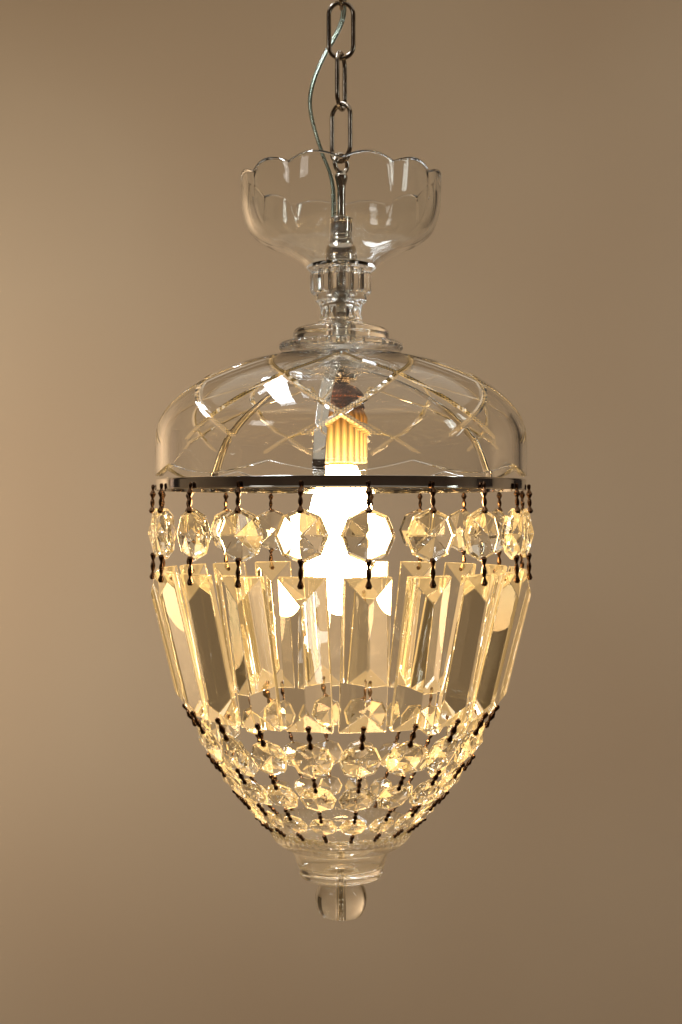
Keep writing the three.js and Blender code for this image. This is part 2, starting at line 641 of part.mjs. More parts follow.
const bottomDish = () =>
  turned([
    [boltHole, dishBottom], [BALL.neckRadius + 4, dishBottom], [footRadius, footTop],
    [footRadius + 1.5, footTop + 0.5 * DISH.stepHeight], [stepRadius, stepZ - 1],
    [stepRadius + 3, stepZ + 0.3],
    [dishRim - 0.5, dishTop - 2.5], [dishRim, dishTop], [dishRim - DISH.wall, dishTop],
    [dishRim - DISH.wall - 1.5, dishTop - 2], [stepRadius - 1, stepZ + DISH.wall],
    [footRadius - DISH.wall, dishFloor + 1.5], [footRadius - DISH.wall - 2, dishFloor], [boltHole, dishFloor],
  ], 28);

const ballTop = dishBottom - CLEARANCE;
const ballCentre = ballTop - BALL.neckHeight - Math.sqrt(BALL.radius ** 2 - BALL.neckRadius ** 2);
const ballBottom = ballCentre - BALL.radius + BALL.flat;

function finialBall() {
  const profile = [[boltHole, ballTop], [BALL.neckRadius, ballTop]];
  const first = Math.asin(BALL.neckRadius / BALL.radius);
  const last = Math.acos(-(ballCentre - ballBottom) / BALL.radius);
  for (let i = 0; i <= 7; i += 1) {
    const a = first + (i / 7) * (last - first);
    profile.push([BALL.radius * Math.sin(a), ballCentre + BALL.radius * Math.cos(a)]);
  }
  return turned([...profile, [boltHole, ballBottom]].reverse(), 24);
}

const nutUnder = ballBottom - CLEARANCE;
const finialNut = () =>
  turned([
    [0, nutUnder - FINIAL_NUT.height], [FINIAL_NUT.radius * 0.6, nutUnder - FINIAL_NUT.height],
    [FINIAL_NUT.radius, nutUnder - 0.4 * FINIAL_NUT.height], [FINIAL_NUT.radius, nutUnder], [0, nutUnder],
  ], 20);

function finialBolt() {
  const shank = rod(BOLT.radius, ballBottom + CLEARANCE, dishFloor + 1, 16);
  const head = rod(BOLT.headRadius, dishFloor + CLEARANCE, dishFloor + CLEARANCE + BOLT.headHeight, 20);
  return joined([shank, head]);
}

// ---- The assembly ----
add("ceiling_plate", ceilingPlate(), METAL);
add("ceiling_canopy", canopy(), METAL);
add("canopy_loop", canopyLoop(), METAL);
add("cable_bush", cableBush(), PLASTIC);
add("terminal_block", terminalBlock(), PLASTIC);
const linkShape = alongCurve(new LinkCurve(), LINK.wire / 2, 8, 28);
LINK.yaws.forEach((yaw, i) => {
  add(`chain_link_${i + 1}`, linkShape, METAL, { z: firstLinkCentre - i * linkPitch, turn: yaw });
});
add("power_cable", powerCable(), GLASS);
add("stem_loop", stemLoop(), METAL);
add("stem_coupling", stemCoupling(), METAL);
add("bowl_nut", bowlNut(), METAL);
add("stem_tube", stemTube(), METAL);
add("top_bowl", topBowl(), GLASS);
add("glass_spindle", glassSpindle(), GLASS);
add("cut_glass_dome", cutGlassDome(), GLASS);
add("frame_hub", frameHub(), METAL);
const strapShape = frameStrap();
for (let i = 0; i < STRAP.count; i += 1) {
  add(`frame_strap_${i + 1}`, strapShape, METAL, { turn: STRAP.firstAngle + (i * 360) / STRAP.count });
}
add("crystal_ring", crystalRing(), METAL);
add("hub_locknut", hubLocknut(), METAL);
add("lampholder_cap", lampholderCap(), COPPER);
add("lampholder_core", lampholderCore(), PLASTIC);
add("lampholder_skirt", lampholderSkirt(), PLASTIC);
add("bulb_cap", bulbCap(), METAL);
add("bulb_glass", bulbGlass(), LIT_GLASS);
const strandShape = crystalStrand();
for (let i = 0; i < STRANDS.count; i += 1) {
  const name = `crystal_strand_${String(i + 1).padStart(2, "0")}`;
  add(name, strandShape, CRYSTAL_GLASS, { turn: STRANDS.firstAngle + (i * 360) / STRANDS.count });
}
ROWS.forEach((_, i) => add(`basket_row_${i + 1}`, basketRow(i), CRYSTAL_GLASS));
add("bottom_dish", bottomDish(), GLASS);
add("finial_ball", finialBall(), GLASS);
add("finial_bolt", finialBolt(), METAL);
add("finial_nut", finialNut(), BRONZE);

export default light;
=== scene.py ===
"""A small cut-glass bag chandelier on its chain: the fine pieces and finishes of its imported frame.

Sizes are in millimetres until a mesh is made. Angles round the light run from the front (-Y) towards +X.
"""

import math

import bmesh
import bpy
import numpy as np
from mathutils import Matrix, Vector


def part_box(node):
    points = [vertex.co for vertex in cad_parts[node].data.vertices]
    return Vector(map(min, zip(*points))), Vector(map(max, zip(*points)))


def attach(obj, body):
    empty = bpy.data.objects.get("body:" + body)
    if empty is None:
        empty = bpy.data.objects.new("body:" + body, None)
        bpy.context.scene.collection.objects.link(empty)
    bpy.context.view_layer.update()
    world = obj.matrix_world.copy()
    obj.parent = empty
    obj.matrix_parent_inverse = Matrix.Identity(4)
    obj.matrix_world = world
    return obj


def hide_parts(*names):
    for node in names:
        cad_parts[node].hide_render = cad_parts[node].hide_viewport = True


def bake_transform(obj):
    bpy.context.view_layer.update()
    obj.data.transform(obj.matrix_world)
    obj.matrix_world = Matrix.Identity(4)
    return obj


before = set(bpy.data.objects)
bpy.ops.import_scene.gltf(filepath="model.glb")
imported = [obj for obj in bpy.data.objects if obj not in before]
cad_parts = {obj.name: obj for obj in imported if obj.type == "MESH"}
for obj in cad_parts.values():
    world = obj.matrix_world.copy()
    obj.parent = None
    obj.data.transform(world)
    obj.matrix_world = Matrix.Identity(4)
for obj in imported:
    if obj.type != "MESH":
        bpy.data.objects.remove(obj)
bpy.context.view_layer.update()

MM = 0.001
CLEARANCE = 0.3
STRAND_COUNT = 20
FIRST_STRAND = 7.3  # degrees round the light
STRAND_YAWS = [FIRST_STRAND + i * 360 / STRAND_COUNT for i in range(STRAND_COUNT)]
STRAP_COUNT = 3
FIRST_STRAP = -6.4
LINK_YAWS = (90, 0, 72, -42)  # how each chain link hangs, in degrees from across the light
EYE_YAW = 48
DOME_LOBES = 9
BOWL_LOBES = 12
COLLAR_FLUTES = 20
SKIRT_RIBS = 24
BORE = 5.3  # the radius of the hole that the stem tube goes through

# ---- Shapes ----


def extent(node):
    """The lowest height, the highest height and the half width of a frame node, in millimetres."""
    low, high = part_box(node)
    return low.z / MM, high.z / MM, (high.x - low.x) / 2 / MM


def skin(points, joined=True, looped=False):
    """The points and faces of a grid: rows by the first index, columns by the second.

    Columns join up when joined, and rows when looped. Points that fall together, at a pole or a seam,
    become one, and a face that loses a corner becomes a triangle.
    """
    rows, columns = points.shape[:2]
    index = np.arange(rows * columns).reshape(rows, columns)
    if joined:
        index = np.hstack([index, index[:, :1]])
    if looped:
        index = np.vstack([index, index[:1]])
    quads = np.stack([index[:-1, :-1], index[:-1, 1:], index[1:, 1:], index[1:, :-1]], axis=-1).reshape(-1, 4)
    merged, inverse = np.unique(points.reshape(-1, 3).round(4), axis=0, return_inverse=True)
    quads = inverse.reshape(-1)[quads]
    same = quads == np.roll(quads, -1, axis=1)
    lost = same.sum(axis=1)
    triangles = quads[lost == 1][~same[lost == 1]].reshape(-1, 3)
    return merged, quads[lost == 0].tolist() + triangles.tolist()


def eased(corners, radius, steps=4, closed=False):
    """A line of corners with each corner rounded: (1-t)^2 a + 2t(1-t) corner + t^2 b, where a and b lie
    `radius` before and after the corner, or 45% of a shorter side."""
    corners = np.array(corners, float)
    before = np.roll(corners, 1, axis=0)
    after = np.roll(corners, -1, axis=0)

    def toward(other):
        run = other - corners
        length = np.linalg.norm(run, axis=1, keepdims=True)
        return corners + run / length * np.minimum(radius, 0.45 * length)

    t = np.linspace(0, 1, steps)[None, :, None]
    a, b = toward(before)[:, None], toward(after)[:, None]
    bends = (1 - t) ** 2 * a + 2 * t * (1 - t) * corners[:, None] + t**2 * b
    if closed:
        return bends.reshape(-1, corners.shape[1])
    middle = bends[1:-1].reshape(-1, corners.shape[1])
    return np.vstack([corners[:1], middle, corners[-1:]])


def flowing(stops, per_span=12):
    """A smooth line through every stop, a Catmull-Rom cubic on each span:
    p = (2 p1 + c1 t + c2 t^2 + c3 t^3) / 2."""
    p = np.array(stops, float)
    p = np.vstack([2 * p[0] - p[1], p, 2 * p[-1] - p[-2]])
    t = np.linspace(0, 1, per_span, endpoint=False)[None, :, None]
    p0, p1, p2, p3 = (p[i : len(p) - 3 + i, None] for i in range(4))
    c1, c2, c3 = p2 - p0, 2 * p0 - 5 * p1 + 4 * p2 - p3, 3 * p1 - p0 - 3 * p2 + p3
    line = (2 * p1 + c1 * t + c2 * t**2 + c3 * t**3) / 2
    return np.vstack([line.reshape(-1, p.shape[1]), p[-2:-1]])


def turned(profile, columns, shape=None):
    """A profile of (radius, height) rows carried round Z: (r sin a, -r cos a, z). shape(a, r, z) may move
    each point first, and gives its new radius and height."""
    profile = np.array(profile, float)
    angle = np.linspace(0, 2 * np.pi, columns, endpoint=False)[None, :]
    r = profile[:, :1] + 0 * angle
    z = profile[:, 1:] + 0 * angle
    angle = angle + 0 * r
    if shape:
        r, z = shape(angle, r, z)
    return np.stack([r * np.sin(angle), -r * np.cos(angle), z], axis=-1)


def carried(path, section, across, looped=False):
    """A section of (side, rise) points carried along a path: path + side * s + rise * (along x s), where
    s = across x along. across is a direction that the path never runs along. An open tube closes on a
    middle point at each end."""
    path = np.array(path, float)
    if looped:
        along = np.roll(path, -1, axis=0) - np.roll(path, 1, axis=0)
    else:
        along = np.gradient(path, axis=0)
    along /= np.linalg.norm(along, axis=1, keepdims=True)
    side = np.cross(np.array(across, float), along)
    side /= np.linalg.norm(side, axis=1, keepdims=True)
    rise = np.cross(along, side)
    section = np.broadcast_to(section, (len(path), *np.shape(section)[-2:]))
    rings = path[:, None] + section[..., :1] * side[:, None] + section[..., 1:] * rise[:, None]
    if looped:
        return rings
    ends = [np.repeat(path[i : i + 1, None], rings.shape[1], axis=1) for i in (0, len(path) - 1)]
    return np.concatenate([ends[0], rings, ends[1]])


def round_section(radius, sides=16):
    """A circle of (side, rise) points."""
    a = np.linspace(0, 2 * np.pi, sides, endpoint=False)
    return radius * np.stack([np.cos(a), np.sin(a)], axis=-1)


def yawed(points, degrees):
    """Points turned about Z: x' = x cos a - y sin a, y' = x sin a + y cos a."""
    c, s = math.cos(math.radians(degrees)), math.sin(math.radians(degrees))
    return points @ np.array([[c, s, 0], [-s, c, 0], [0, 0, 1]])


def catch_light(piece, looks, numbers):
    """Gives each facet a look by its number: 0 is the stone's own, and those above 0 are looks with a
    painted glint of lamplight."""
    for look in looks:
        piece.data.materials.append(look)
    piece.data.polygons.foreach_set("material_index", np.array(numbers).astype(np.int32))


def hung(points, stop, lean, yaw):
    """Points made round the origin with their face towards -Y: leant in by `lean`, moved to a stop of
    (radius, height) and turned to their place round the light."""
    c, s = math.cos(math.radians(lean)), math.sin(math.radians(lean))
    leant = points @ np.array([[1, 0, 0], [0, c, s], [0, -s, c]])
    return yawed(leant + np.array([0, -stop[0], stop[1]]), yaw)


def stone(corners):
    """The points and flat faces of a cut stone: the hull of its corners, with faces that lie flat joined."""
    shape = bmesh.new()
    for corner in corners:
        shape.verts.new(corner)
    bmesh.ops.convex_hull(shape, input=shape.verts)
    bmesh.ops.dissolve_limit(shape, angle_limit=0.005, verts=shape.verts, edges=shape.edges)
    shape.verts.index_update()
    points = np.array([v.co for v in shape.verts])
    faces = [[v.index for v in f.verts] for f in shape.faces]
    shape.free()
    return points, faces


FACET_ANGLE = 8  # degrees between two facets, from which their edge is ground


def make(name, parts, looks, body=None, slot=None, stands_for=(), sharp=35, clear=False, chamfer=0):
    """One piece from its (points, faces) parts, each with the look of its own number, or the last look.

    An edge stays sharp from `sharp` degrees on, and 0 leaves every face flat. Clear glass casts no shadow.
    """
    looks = looks if isinstance(looks, (list, tuple)) else [looks]
    count = np.cumsum([0] + [len(points) for points, _ in parts])
    faces = [[i + start for i in face] for (_, part), start in zip(parts, count) for face in part]
    mesh = bpy.data.meshes.new(name)
    mesh.from_pydata((np.vstack([points for points, _ in parts]) * MM).tolist(), [], faces)
    for look in looks:
        mesh.materials.append(look)
    numbers = np.repeat(np.arange(len(parts)), [len(part) for _, part in parts])
    mesh.polygons.foreach_set("material_index", np.minimum(numbers, len(looks) - 1).astype(np.int32))
    shape = bmesh.new()
    shape.from_mesh(mesh)
    bmesh.ops.recalc_face_normals(shape, faces=shape.faces)
    shape.to_mesh(mesh)
    shape.free()
    if sharp:
        mesh.shade_smooth()
        mesh.set_sharp_from_angle(angle=math.radians(sharp))
    piece = bpy.data.objects.new(name, mesh)
    bpy.context.scene.collection.objects.link(piece)
    piece.visible_shadow = not clear
    if chamfer:
        bevel = piece.modifiers.new("ground_edges", "BEVEL")
        bevel.width = chamfer * MM
        bevel.segments = 1
        bevel.limit_method = "ANGLE"
        bevel.angle_limit = math.radians(FACET_ANGLE)
    if body:
        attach(piece, body)
    if stands_for:
        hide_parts(*stands_for)
    return piece


# ---- Finishes ----


def new_look(name):
    """A material with its shader and node tree."""
    look = bpy.data.materials.new(name)
    look.use_nodes = True
    return look, look.node_tree.nodes["Principled BSDF"], look.node_tree


def set_sockets(shader, **values):
    """Gives sockets, named with an underscore for each space, a constant value or another node's output."""
    for name, value in values.items():
        socket = shader.inputs[name.replace("_", " ")]
        if isinstance(value, bpy.types.NodeSocket):
            shader.id_data.links.new(value, socket)
        else:
            socket.default_value = value


def node(tree, kind, **values):
    """A new shader node with its sockets' values."""
    made = tree.nodes.new(f"ShaderNode{kind}")
    set_sockets(made, **values)
    return made


def ramp_of(tree, stops):
    """A colour ramp through (share, colour) stops, from the first to the last."""
    ramp = node(tree, "ValToRGB")
    ends = ramp.color_ramp.elements
    for end, (share, colour) in ((ends[0], stops[0]), (ends[1], stops[-1])):
        end.position = share
        end.color = (*colour, 1)
    for share, colour in stops[1:-1]:
        ends.new(share).color = (*colour, 1)
    return ramp


def mottle(tree, scale, detail=3.0, stretch=(1, 1, 1)):
    """A noise over the piece's own coordinates, `scale` blotches to the metre."""
    place = node(tree, "TexCoord").outputs["Object"]
    fit = node(tree, "Mapping", Vector=place, Scale=stretch)
    return node(tree, "TexNoise", Vector=fit.outputs["Vector"], Scale=scale, Detail=detail).outputs["Fac"]


def spread(tree, value, low, high):
    """A value from 0.3 to 0.7 spread over low to high."""
    span = node(tree, "MapRange", Value=value, From_Min=0.3, From_Max=0.7, To_Min=low, To_Max=high)
    return span.outputs["Result"]


def tint(tree, value, first, last):
    """A colour that goes from first to last as the value goes from 0.35 to 0.65."""
    ramp = ramp_of(tree, [(0.35, first), (0.65, last)])
    set_sockets(ramp, Fac=value)
    return ramp.outputs["Color"]


def relief(tree, value, height):
    """A bump of `height` metres from a value."""
    return node(tree, "Bump", Height=value, Strength=1.0, Distance=height).outputs["Normal"]


def metal(name, dull, bright, smooth, rough, scratch=0.00002):
    """Plated or bare metal: its colour clouds from dull to bright, and fine scratches run round it."""
    look, shader, tree = new_look(name)
    set_sockets(
        shader, Metallic=1.0, Base_Color=tint(tree, mottle(tree, 90), dull, bright),
        Roughness=spread(tree, mottle(tree, 400, 5), smooth, rough),
        Normal=relief(tree, mottle(tree, 900, 2, (1, 1, 0.15)), scratch),
    )
    return look


def glass(name, colour, density, wave, waves, rough=0.0, glow=0.0):
    """Clear glass: light bends into it, and its skin waves a little where it was pressed and fire-polished.
    `glow` stands for the lamp's warm light that its facets gather."""
    look, shader, tree = new_look(name)
    set_sockets(shader, Base_Color=(*colour, 1), Transmission_Weight=1.0, IOR=density, Roughness=rough)
    set_sockets(shader, Emission_Color=(*LAMP_LIGHT, 1), Emission_Strength=glow)
    set_sockets(shader, Normal=relief(tree, mottle(tree, waves, 1), wave))
    return look


def crystal(name, colour, glow):
    """Lead crystal: a denser glass, cut and polished flat."""
    return glass(name, colour, CRYSTAL_DENSITY, 0.000004, 120, glow=glow)


def plastic(name, first, last, rough):
    """Moulded plastic: slightly uneven colour and a soft orange-peel skin."""
    look, shader, tree = new_look(name)
    set_sockets(
        shader, Base_Color=tint(tree, mottle(tree, 60), first, last),
        Roughness=spread(tree, mottle(tree, 300), rough * 0.8, rough * 1.3),
        Normal=relief(tree, mottle(tree, 1500, 1), 0.00001),
    )
    return look


def share_along(tree, axis, low, high):
    """From 0 at one place along an axis of the piece to 1 at another, in metres."""
    place = node(tree, "TexCoord").outputs["Object"]
    split = node(tree, "SeparateXYZ", Vector=place)
    span = node(tree, "MapRange", Value=split.outputs[axis], From_Min=low, From_Max=high)
    return span.outputs["Result"]


def maths(tree, operation, value, number):
    """A value put through one sum with a number."""
    made = node(tree, "Math")
    made.operation = operation
    made.inputs[1].default_value = number
    tree.links.new(value, made.inputs[0])
    return made.outputs[0]


def ribbed(tree, colour, count, dark):
    """A colour that falls to `dark` of itself in the grooves between `count` ribs round Z: painted shade in
    the grooves.
    """
    around = node(tree, "TexGradient", Vector=node(tree, "TexCoord").outputs["Object"])
    around.gradient_type = "RADIAL"
    wave = maths(tree, "PINGPONG", maths(tree, "MULTIPLY", around.outputs["Fac"], count), 0.5)
    share = node(tree, "MapRange", Value=wave, From_Max=0.5, To_Min=dark)
    shade = node(tree, "VectorMath")
    shade.operation = "SCALE"
    set_sockets(shade, Scale=share.outputs["Result"])
    tree.links.new(colour, shade.inputs[0])
    return shade.outputs[0]


def glowing(look_name, low, high, stops, strength, rough, body=(0.90, 0.76, 0.52), ribs=0):
    """A glowing skin whose glow runs through (share, colour) stops from one height, in metres, to another:
    the bulb's own light, or painted lamplight on the lampholder's skirt.
    """
    look, shader, tree = new_look(look_name)
    ramp = ramp_of(tree, stops)
    set_sockets(ramp, Fac=share_along(tree, "Z", low, high))
    glow = ribbed(tree, ramp.outputs["Color"], ribs, GROOVE_SHADE) if ribs else ramp.outputs["Color"]
    dull = tuple(0.94 * c for c in body)
    set_sockets(
        shader, Emission_Color=glow, Emission_Strength=strength, Roughness=rough,
        Base_Color=tint(tree, mottle(tree, 80), dull, body),
    )
    return look


LAMP_LIGHT = (1.0, 0.60, 0.19)
GROOVE_SHADE = 0.25  # the share of the light that is left in the grooves of the lampholder's skirt
GLASS_DENSITY, CRYSTAL_DENSITY = 1.5, 1.58  # how strongly each bends light
bulb_low, bulb_high, bulb_radius = extent("bulb_glass")
skirt_low, skirt_high, _ = extent("lampholder_skirt")

NICKEL = metal("polished_nickel", (0.58, 0.52, 0.45), (0.74, 0.69, 0.61), 0.05, 0.13)
CHROME = metal("bright_chrome", (0.72, 0.70, 0.66), (0.82, 0.80, 0.76), 0.03, 0.08, 0.00001)
PLATE_STEEL = metal("zinc_plated_steel", (0.42, 0.41, 0.39), (0.58, 0.57, 0.53), 0.25, 0.42)
BRONZE = metal("dark_bronze", (0.10, 0.052, 0.028), (0.22, 0.12, 0.065), 0.14, 0.30)
COPPER = metal("aged_copper", (0.085, 0.036, 0.018), (0.20, 0.085, 0.040), 0.16, 0.30)
CHAIN_NICKEL = metal("darkened_nickel", (0.30, 0.25, 0.20), (0.46, 0.40, 0.33), 0.10, 0.24)
TINNED = metal("tinned_copper", (0.20, 0.23, 0.19), (0.38, 0.41, 0.34), 0.22, 0.40)
CLEAR_GLASS = glass("clear_pressed_glass", (0.985, 0.99, 0.975), GLASS_DENSITY, 0.00006, 70)
DOME_GLASS = glass("clear_cut_glass", (0.99, 0.985, 0.97), GLASS_DENSITY, 0.00004, 60)
# The cut bands' look has a painted glow of lamplight.
CUT_BANDS = glass("cut_bands_painted_glow", (1.0, 0.96, 0.88), GLASS_DENSITY, 0.00002, 60, 0.05, glow=0.30)
# The foot glass has a faint painted glow of lamplight.
FOOT_GLASS = glass("clear_foot_glass", (0.99, 0.985, 0.96), GLASS_DENSITY, 0.00004, 60, glow=0.018)
# Each crystal's own look has a faint painted glow of lamplight.
OCTAGON_CRYSTAL = crystal("cut_lead_crystal", (1.0, 0.985, 0.94), 0.02)
PRISM_CRYSTAL = crystal("cut_prism_crystal", (1.0, 0.985, 0.94), 0.025)
BASKET_CRYSTAL = crystal("cut_bead_crystal", (1.0, 0.98, 0.92), 0.025)
# Looks with a painted glint of lamplight for a share of the facets: amber, and bright.
LIT_FACETS = [
    crystal("crystal_facet_painted_amber_glint", (1.0, 0.93, 0.80), 0.28),
    crystal("crystal_facet_painted_bright_glint", (1.0, 0.97, 0.90), 0.9),
]
# The prisms' hips and side edges get a painted glow of lamplight.
LIT_HIP = crystal("crystal_hip_in_lamplight", (1.0, 0.97, 0.90), 0.28)
FLEX = glass("clear_flex_sheath", (0.90, 0.94, 0.90), 1.35, 0.00001, 500)
WHITE_PLASTIC = plastic("white_moulded_plastic", (0.80, 0.78, 0.72), (0.88, 0.86, 0.80), 0.35)
CREAM = plastic("cream_moulded_plastic", (0.72, 0.60, 0.40), (0.82, 0.72, 0.52), 0.4)
BRASS_CAP = metal("bulb_cap_brass", (0.55, 0.48, 0.34), (0.72, 0.64, 0.46), 0.2, 0.35)
# The skirt's glow is painted lamplight, bright at its foot next to the bulb and fading to a painted shade at
# its top; its dark body colour is painted shade too.
SKIRT_GLOW = [
    (0, (1.0, 0.70, 0.24)),
    (0.4, (0.85, 0.46, 0.10)),
    (0.75, (0.34, 0.13, 0.02)),
    (1, (0.06, 0.02, 0.005)),
]
LIT_SKIRT = glowing(
    "plastic_with_painted_amber_glow", skirt_low * MM, skirt_high * MM, SKIRT_GLOW, 2.6, 0.35,
    body=(0.17, 0.08, 0.02), ribs=SKIRT_RIBS,
)
BULB_GLOW = [
    (0, (1.0, 0.60, 0.24)),
    (0.35, (1.0, 0.70, 0.33)),
    (0.75, (1.0, 0.70, 0.33)),
    (1, (1.0, 0.55, 0.20)),
]
LIT_BULB = glowing("lit_bulb_glass", bulb_low * MM, bulb_high * MM, BULB_GLOW, 60, 0.3)

# ---- Camera ----
CAMERA_DISTANCE = 666
CAMERA_HEIGHT = -332.1
lens = bpy.data.cameras.new("camera")
lens.lens = 44
lens.sensor_width = 36
camera = bpy.data.objects.new("camera", lens)
camera.location = (0, -CAMERA_DISTANCE * MM, CAMERA_HEIGHT * MM)
camera.rotation_euler = (math.radians(90), 0, 0)
bpy.context.scene.collection.objects.link(camera)
bpy.context.scene.camera = camera

# ---- Flex ----
# It comes out of the bush, hangs behind the first two links, bows out to the left and ends at the coupling.
FLEX_ROUTE = [
    (2, 14.5, -18.1), (2, 14.5, -24), (2, 14.3, -30), (1.9, 13.6, -38), (1.6, 12.2, -47),
    (1.4, 11.1, -56), (1, 10.2, -65), (-2.4, 9.4, -74), (-8.3, 8, -85), (-12.6, 5.6, -95),
    (-15.6, 3.4, -105), (-16.6, 1.8, -113), (-15.9, 0.6, -121), (-14, -0.4, -129),
    (-11.4, -1.4, -137.5), (-8.3, -2, -145.5), (-5.6, -2.4, -153), (-4.2, -2.6, -161.5),
    (-3.9, -2.6, -169), (-3.9, -2.6, -176.2),
]
FLEX_WIDTH = 3.5
CORE_RADIUS = 1.0
CORE_OFFSET = FLEX_WIDTH / 2 - CORE_RADIUS  # from the flex's middle to a core's
CORE_WEB = math.asin(CORE_OFFSET / CORE_RADIUS) - 0.12  # half the angle of a core that the other covers
CONDUCTOR_RADIUS = 0.58
FLEX_TWIST = 2.2  # radians over its whole length
FLEX_CUTS = (-49.2, -78.7, -107, -137.7)  # the heights that one stretch gives way to the next at


def turned_section(points, turn):
    """A section's (side, rise) points at each turn: side cos t - rise sin t, side sin t + rise cos t."""
    c, s = np.cos(turn)[:, None], np.sin(turn)[:, None]
    return np.stack([points[:, 0] * c - points[:, 1] * s, points[:, 0] * s + points[:, 1] * c], axis=-1)


def flex_outline():
    """Two cores side by side: the outline of two circles that run into each other."""
    arc = np.linspace(-np.pi + CORE_WEB, np.pi - CORE_WEB, 13)
    right = np.stack([CORE_OFFSET + CORE_RADIUS * np.cos(arc), CORE_RADIUS * np.sin(arc)], axis=-1)
    return np.vstack([right, -right])


def flex():
    """The twin flex, in one stretch for each link that it passes."""
    line = flowing(FLEX_ROUTE)
    turn = FLEX_TWIST * np.linspace(0, 1, len(line))
    cuts = [0, *[int(np.argmin(abs(line[:, 2] - z))) for z in FLEX_CUTS], len(line) - 1]
    for number, (first, last) in enumerate(zip(cuts, cuts[1:])):
        path = line[first : last + 1]
        turns = turn[first : last + 1]
        parts = [skin(carried(path, turned_section(flex_outline(), turns), (0, 1, 0)))]
        for side in (-CORE_OFFSET, CORE_OFFSET):
            middle = np.stack([side * np.cos(turns), side * np.sin(turns)], axis=-1)
            ring = round_section(CONDUCTOR_RADIUS, 8)[None] + middle[:, None]
            parts.append(skin(carried(path, ring, (0, 1, 0))[1:-1]))
        piece = make(
            f"flex_{number + 1}", parts, [FLEX, TINNED], slot="clear_flex", stands_for=["power_cable"],
            clear=True,
        )
        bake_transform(piece)


flex()

# ---- Ceiling fitting and chain ----


def solid(profile, columns, shape=None):
    """The skin of a closed profile turned about Z: it closes on itself, or starts and ends on the axis."""
    on_axis = profile[0][0] == 0 and profile[-1][0] == 0
    return skin(turned(profile, columns, shape), looped=not on_axis)


def turned_piece(name, rows, columns, look, body, slot, node, shape=None, **more):
    """One piece turned about Z from a profile, in place of its frame node."""
    return make(name, [solid(rows, columns, shape)], look, body, slot, [node], **more)


def disc_with_post():
    """A disc against the ceiling with a post under its middle."""
    low, high, radius = extent("ceiling_plate")
    post, under = 5.5, high - 3
    profile = eased([(0, low), (post, low), (post, under), (radius, under), (radius, high), (0, high)], 0.4)
    turned_piece(
        "ceiling_disc", profile, 64, PLATE_STEEL, "ceiling_fitting", "plate_steel", "ceiling_plate"
    )


def canopy_cup():
    """A spun cup: a flat floor, a quarter round up to a straight rim, and a rolled bead round the rim."""
    low, high, radius = extent("ceiling_canopy")
    hole, wall, bend = 2.8, 1.2, 11
    a = np.linspace(np.pi / 2, 0, 16)
    middle = radius - bend
    inner = bend - wall
    outside = np.stack([middle + bend * np.cos(a), low + bend * (1 - np.sin(a))], axis=-1)
    inside = np.stack([middle + inner * np.cos(a), low + wall + inner * (1 - np.sin(a))], axis=-1)
    ring = [(hole, low), (8, low), (8.4, low + 0.25), (9, low)]
    bead = [(radius, high - 2.2), (radius + 0.7, high - 1.6), (radius + 0.7, high - 0.6), (radius, high)]
    profile = [*ring, *outside, *bead, (radius - wall, high), *inside[::-1], (hole, low + wall)]
    turned_piece(
        "ceiling_cup", profile, 96, CHROME, "ceiling_fitting", "polished_nickel", "ceiling_canopy"
    )


def loop_ring(centre, ring_radius, wire, yaw):
    """A closed ring of round wire standing up: centre + R (cos t, 0, sin t)."""
    t = np.linspace(0, 2 * np.pi, 64, endpoint=False) + np.pi / 2
    path = np.stack([ring_radius * np.cos(t), 0 * t, centre + ring_radius * np.sin(t)], axis=-1)
    ring = carried(path, round_section(wire / 2), (0, 1, 0), looped=True)
    return skin(yawed(ring, yaw), looped=True)


def canopy_loop():
    """A ring on a stepped collar that screws up into the post."""
    low, high, _ = extent("canopy_loop")
    ring, wire, screw, collar = 5.5, 3, 2.5, -24.3
    profile = eased([
        (0, collar - 3.2), (3.4, collar - 3), (4.2, collar - 2), (6, collar - 1.7), (6, collar),
        (screw, collar), (screw, high), (0, high),
    ], 0.35)
    parts = [loop_ring(low + wire / 2 + ring, ring, wire, 0), solid(profile, 48)]
    make("screw_loop", parts, NICKEL, "ceiling_fitting", "polished_nickel", ["canopy_loop"])


def flex_bush():
    """A grommet: a flange under the canopy and a sleeve through it."""
    low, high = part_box("cable_bush")
    middle = (low + high) / 2 / MM
    bottom, top = low.z / MM, high.z / MM
    hole, sleeve, flange, step = 2, 4, 5.2, bottom + 1.2
    profile = eased([
        (hole, bottom), (flange, bottom), (flange, step), (sleeve, step), (sleeve, top), (hole, top),
    ], 0.3, closed=True)
    points, faces = solid(profile, 40)
    make(
        "flex_grommet", [(points + [middle.x, middle.y, 0], faces)], WHITE_PLASTIC, "ceiling_fitting",
        "white_plastic", ["cable_bush"],
    )


LINK_WIRE, LINK_WIDTH = 2.5, 15.5
BUTT_GAP = 0.12  # between the two ends of a link's wire, on each side of its middle


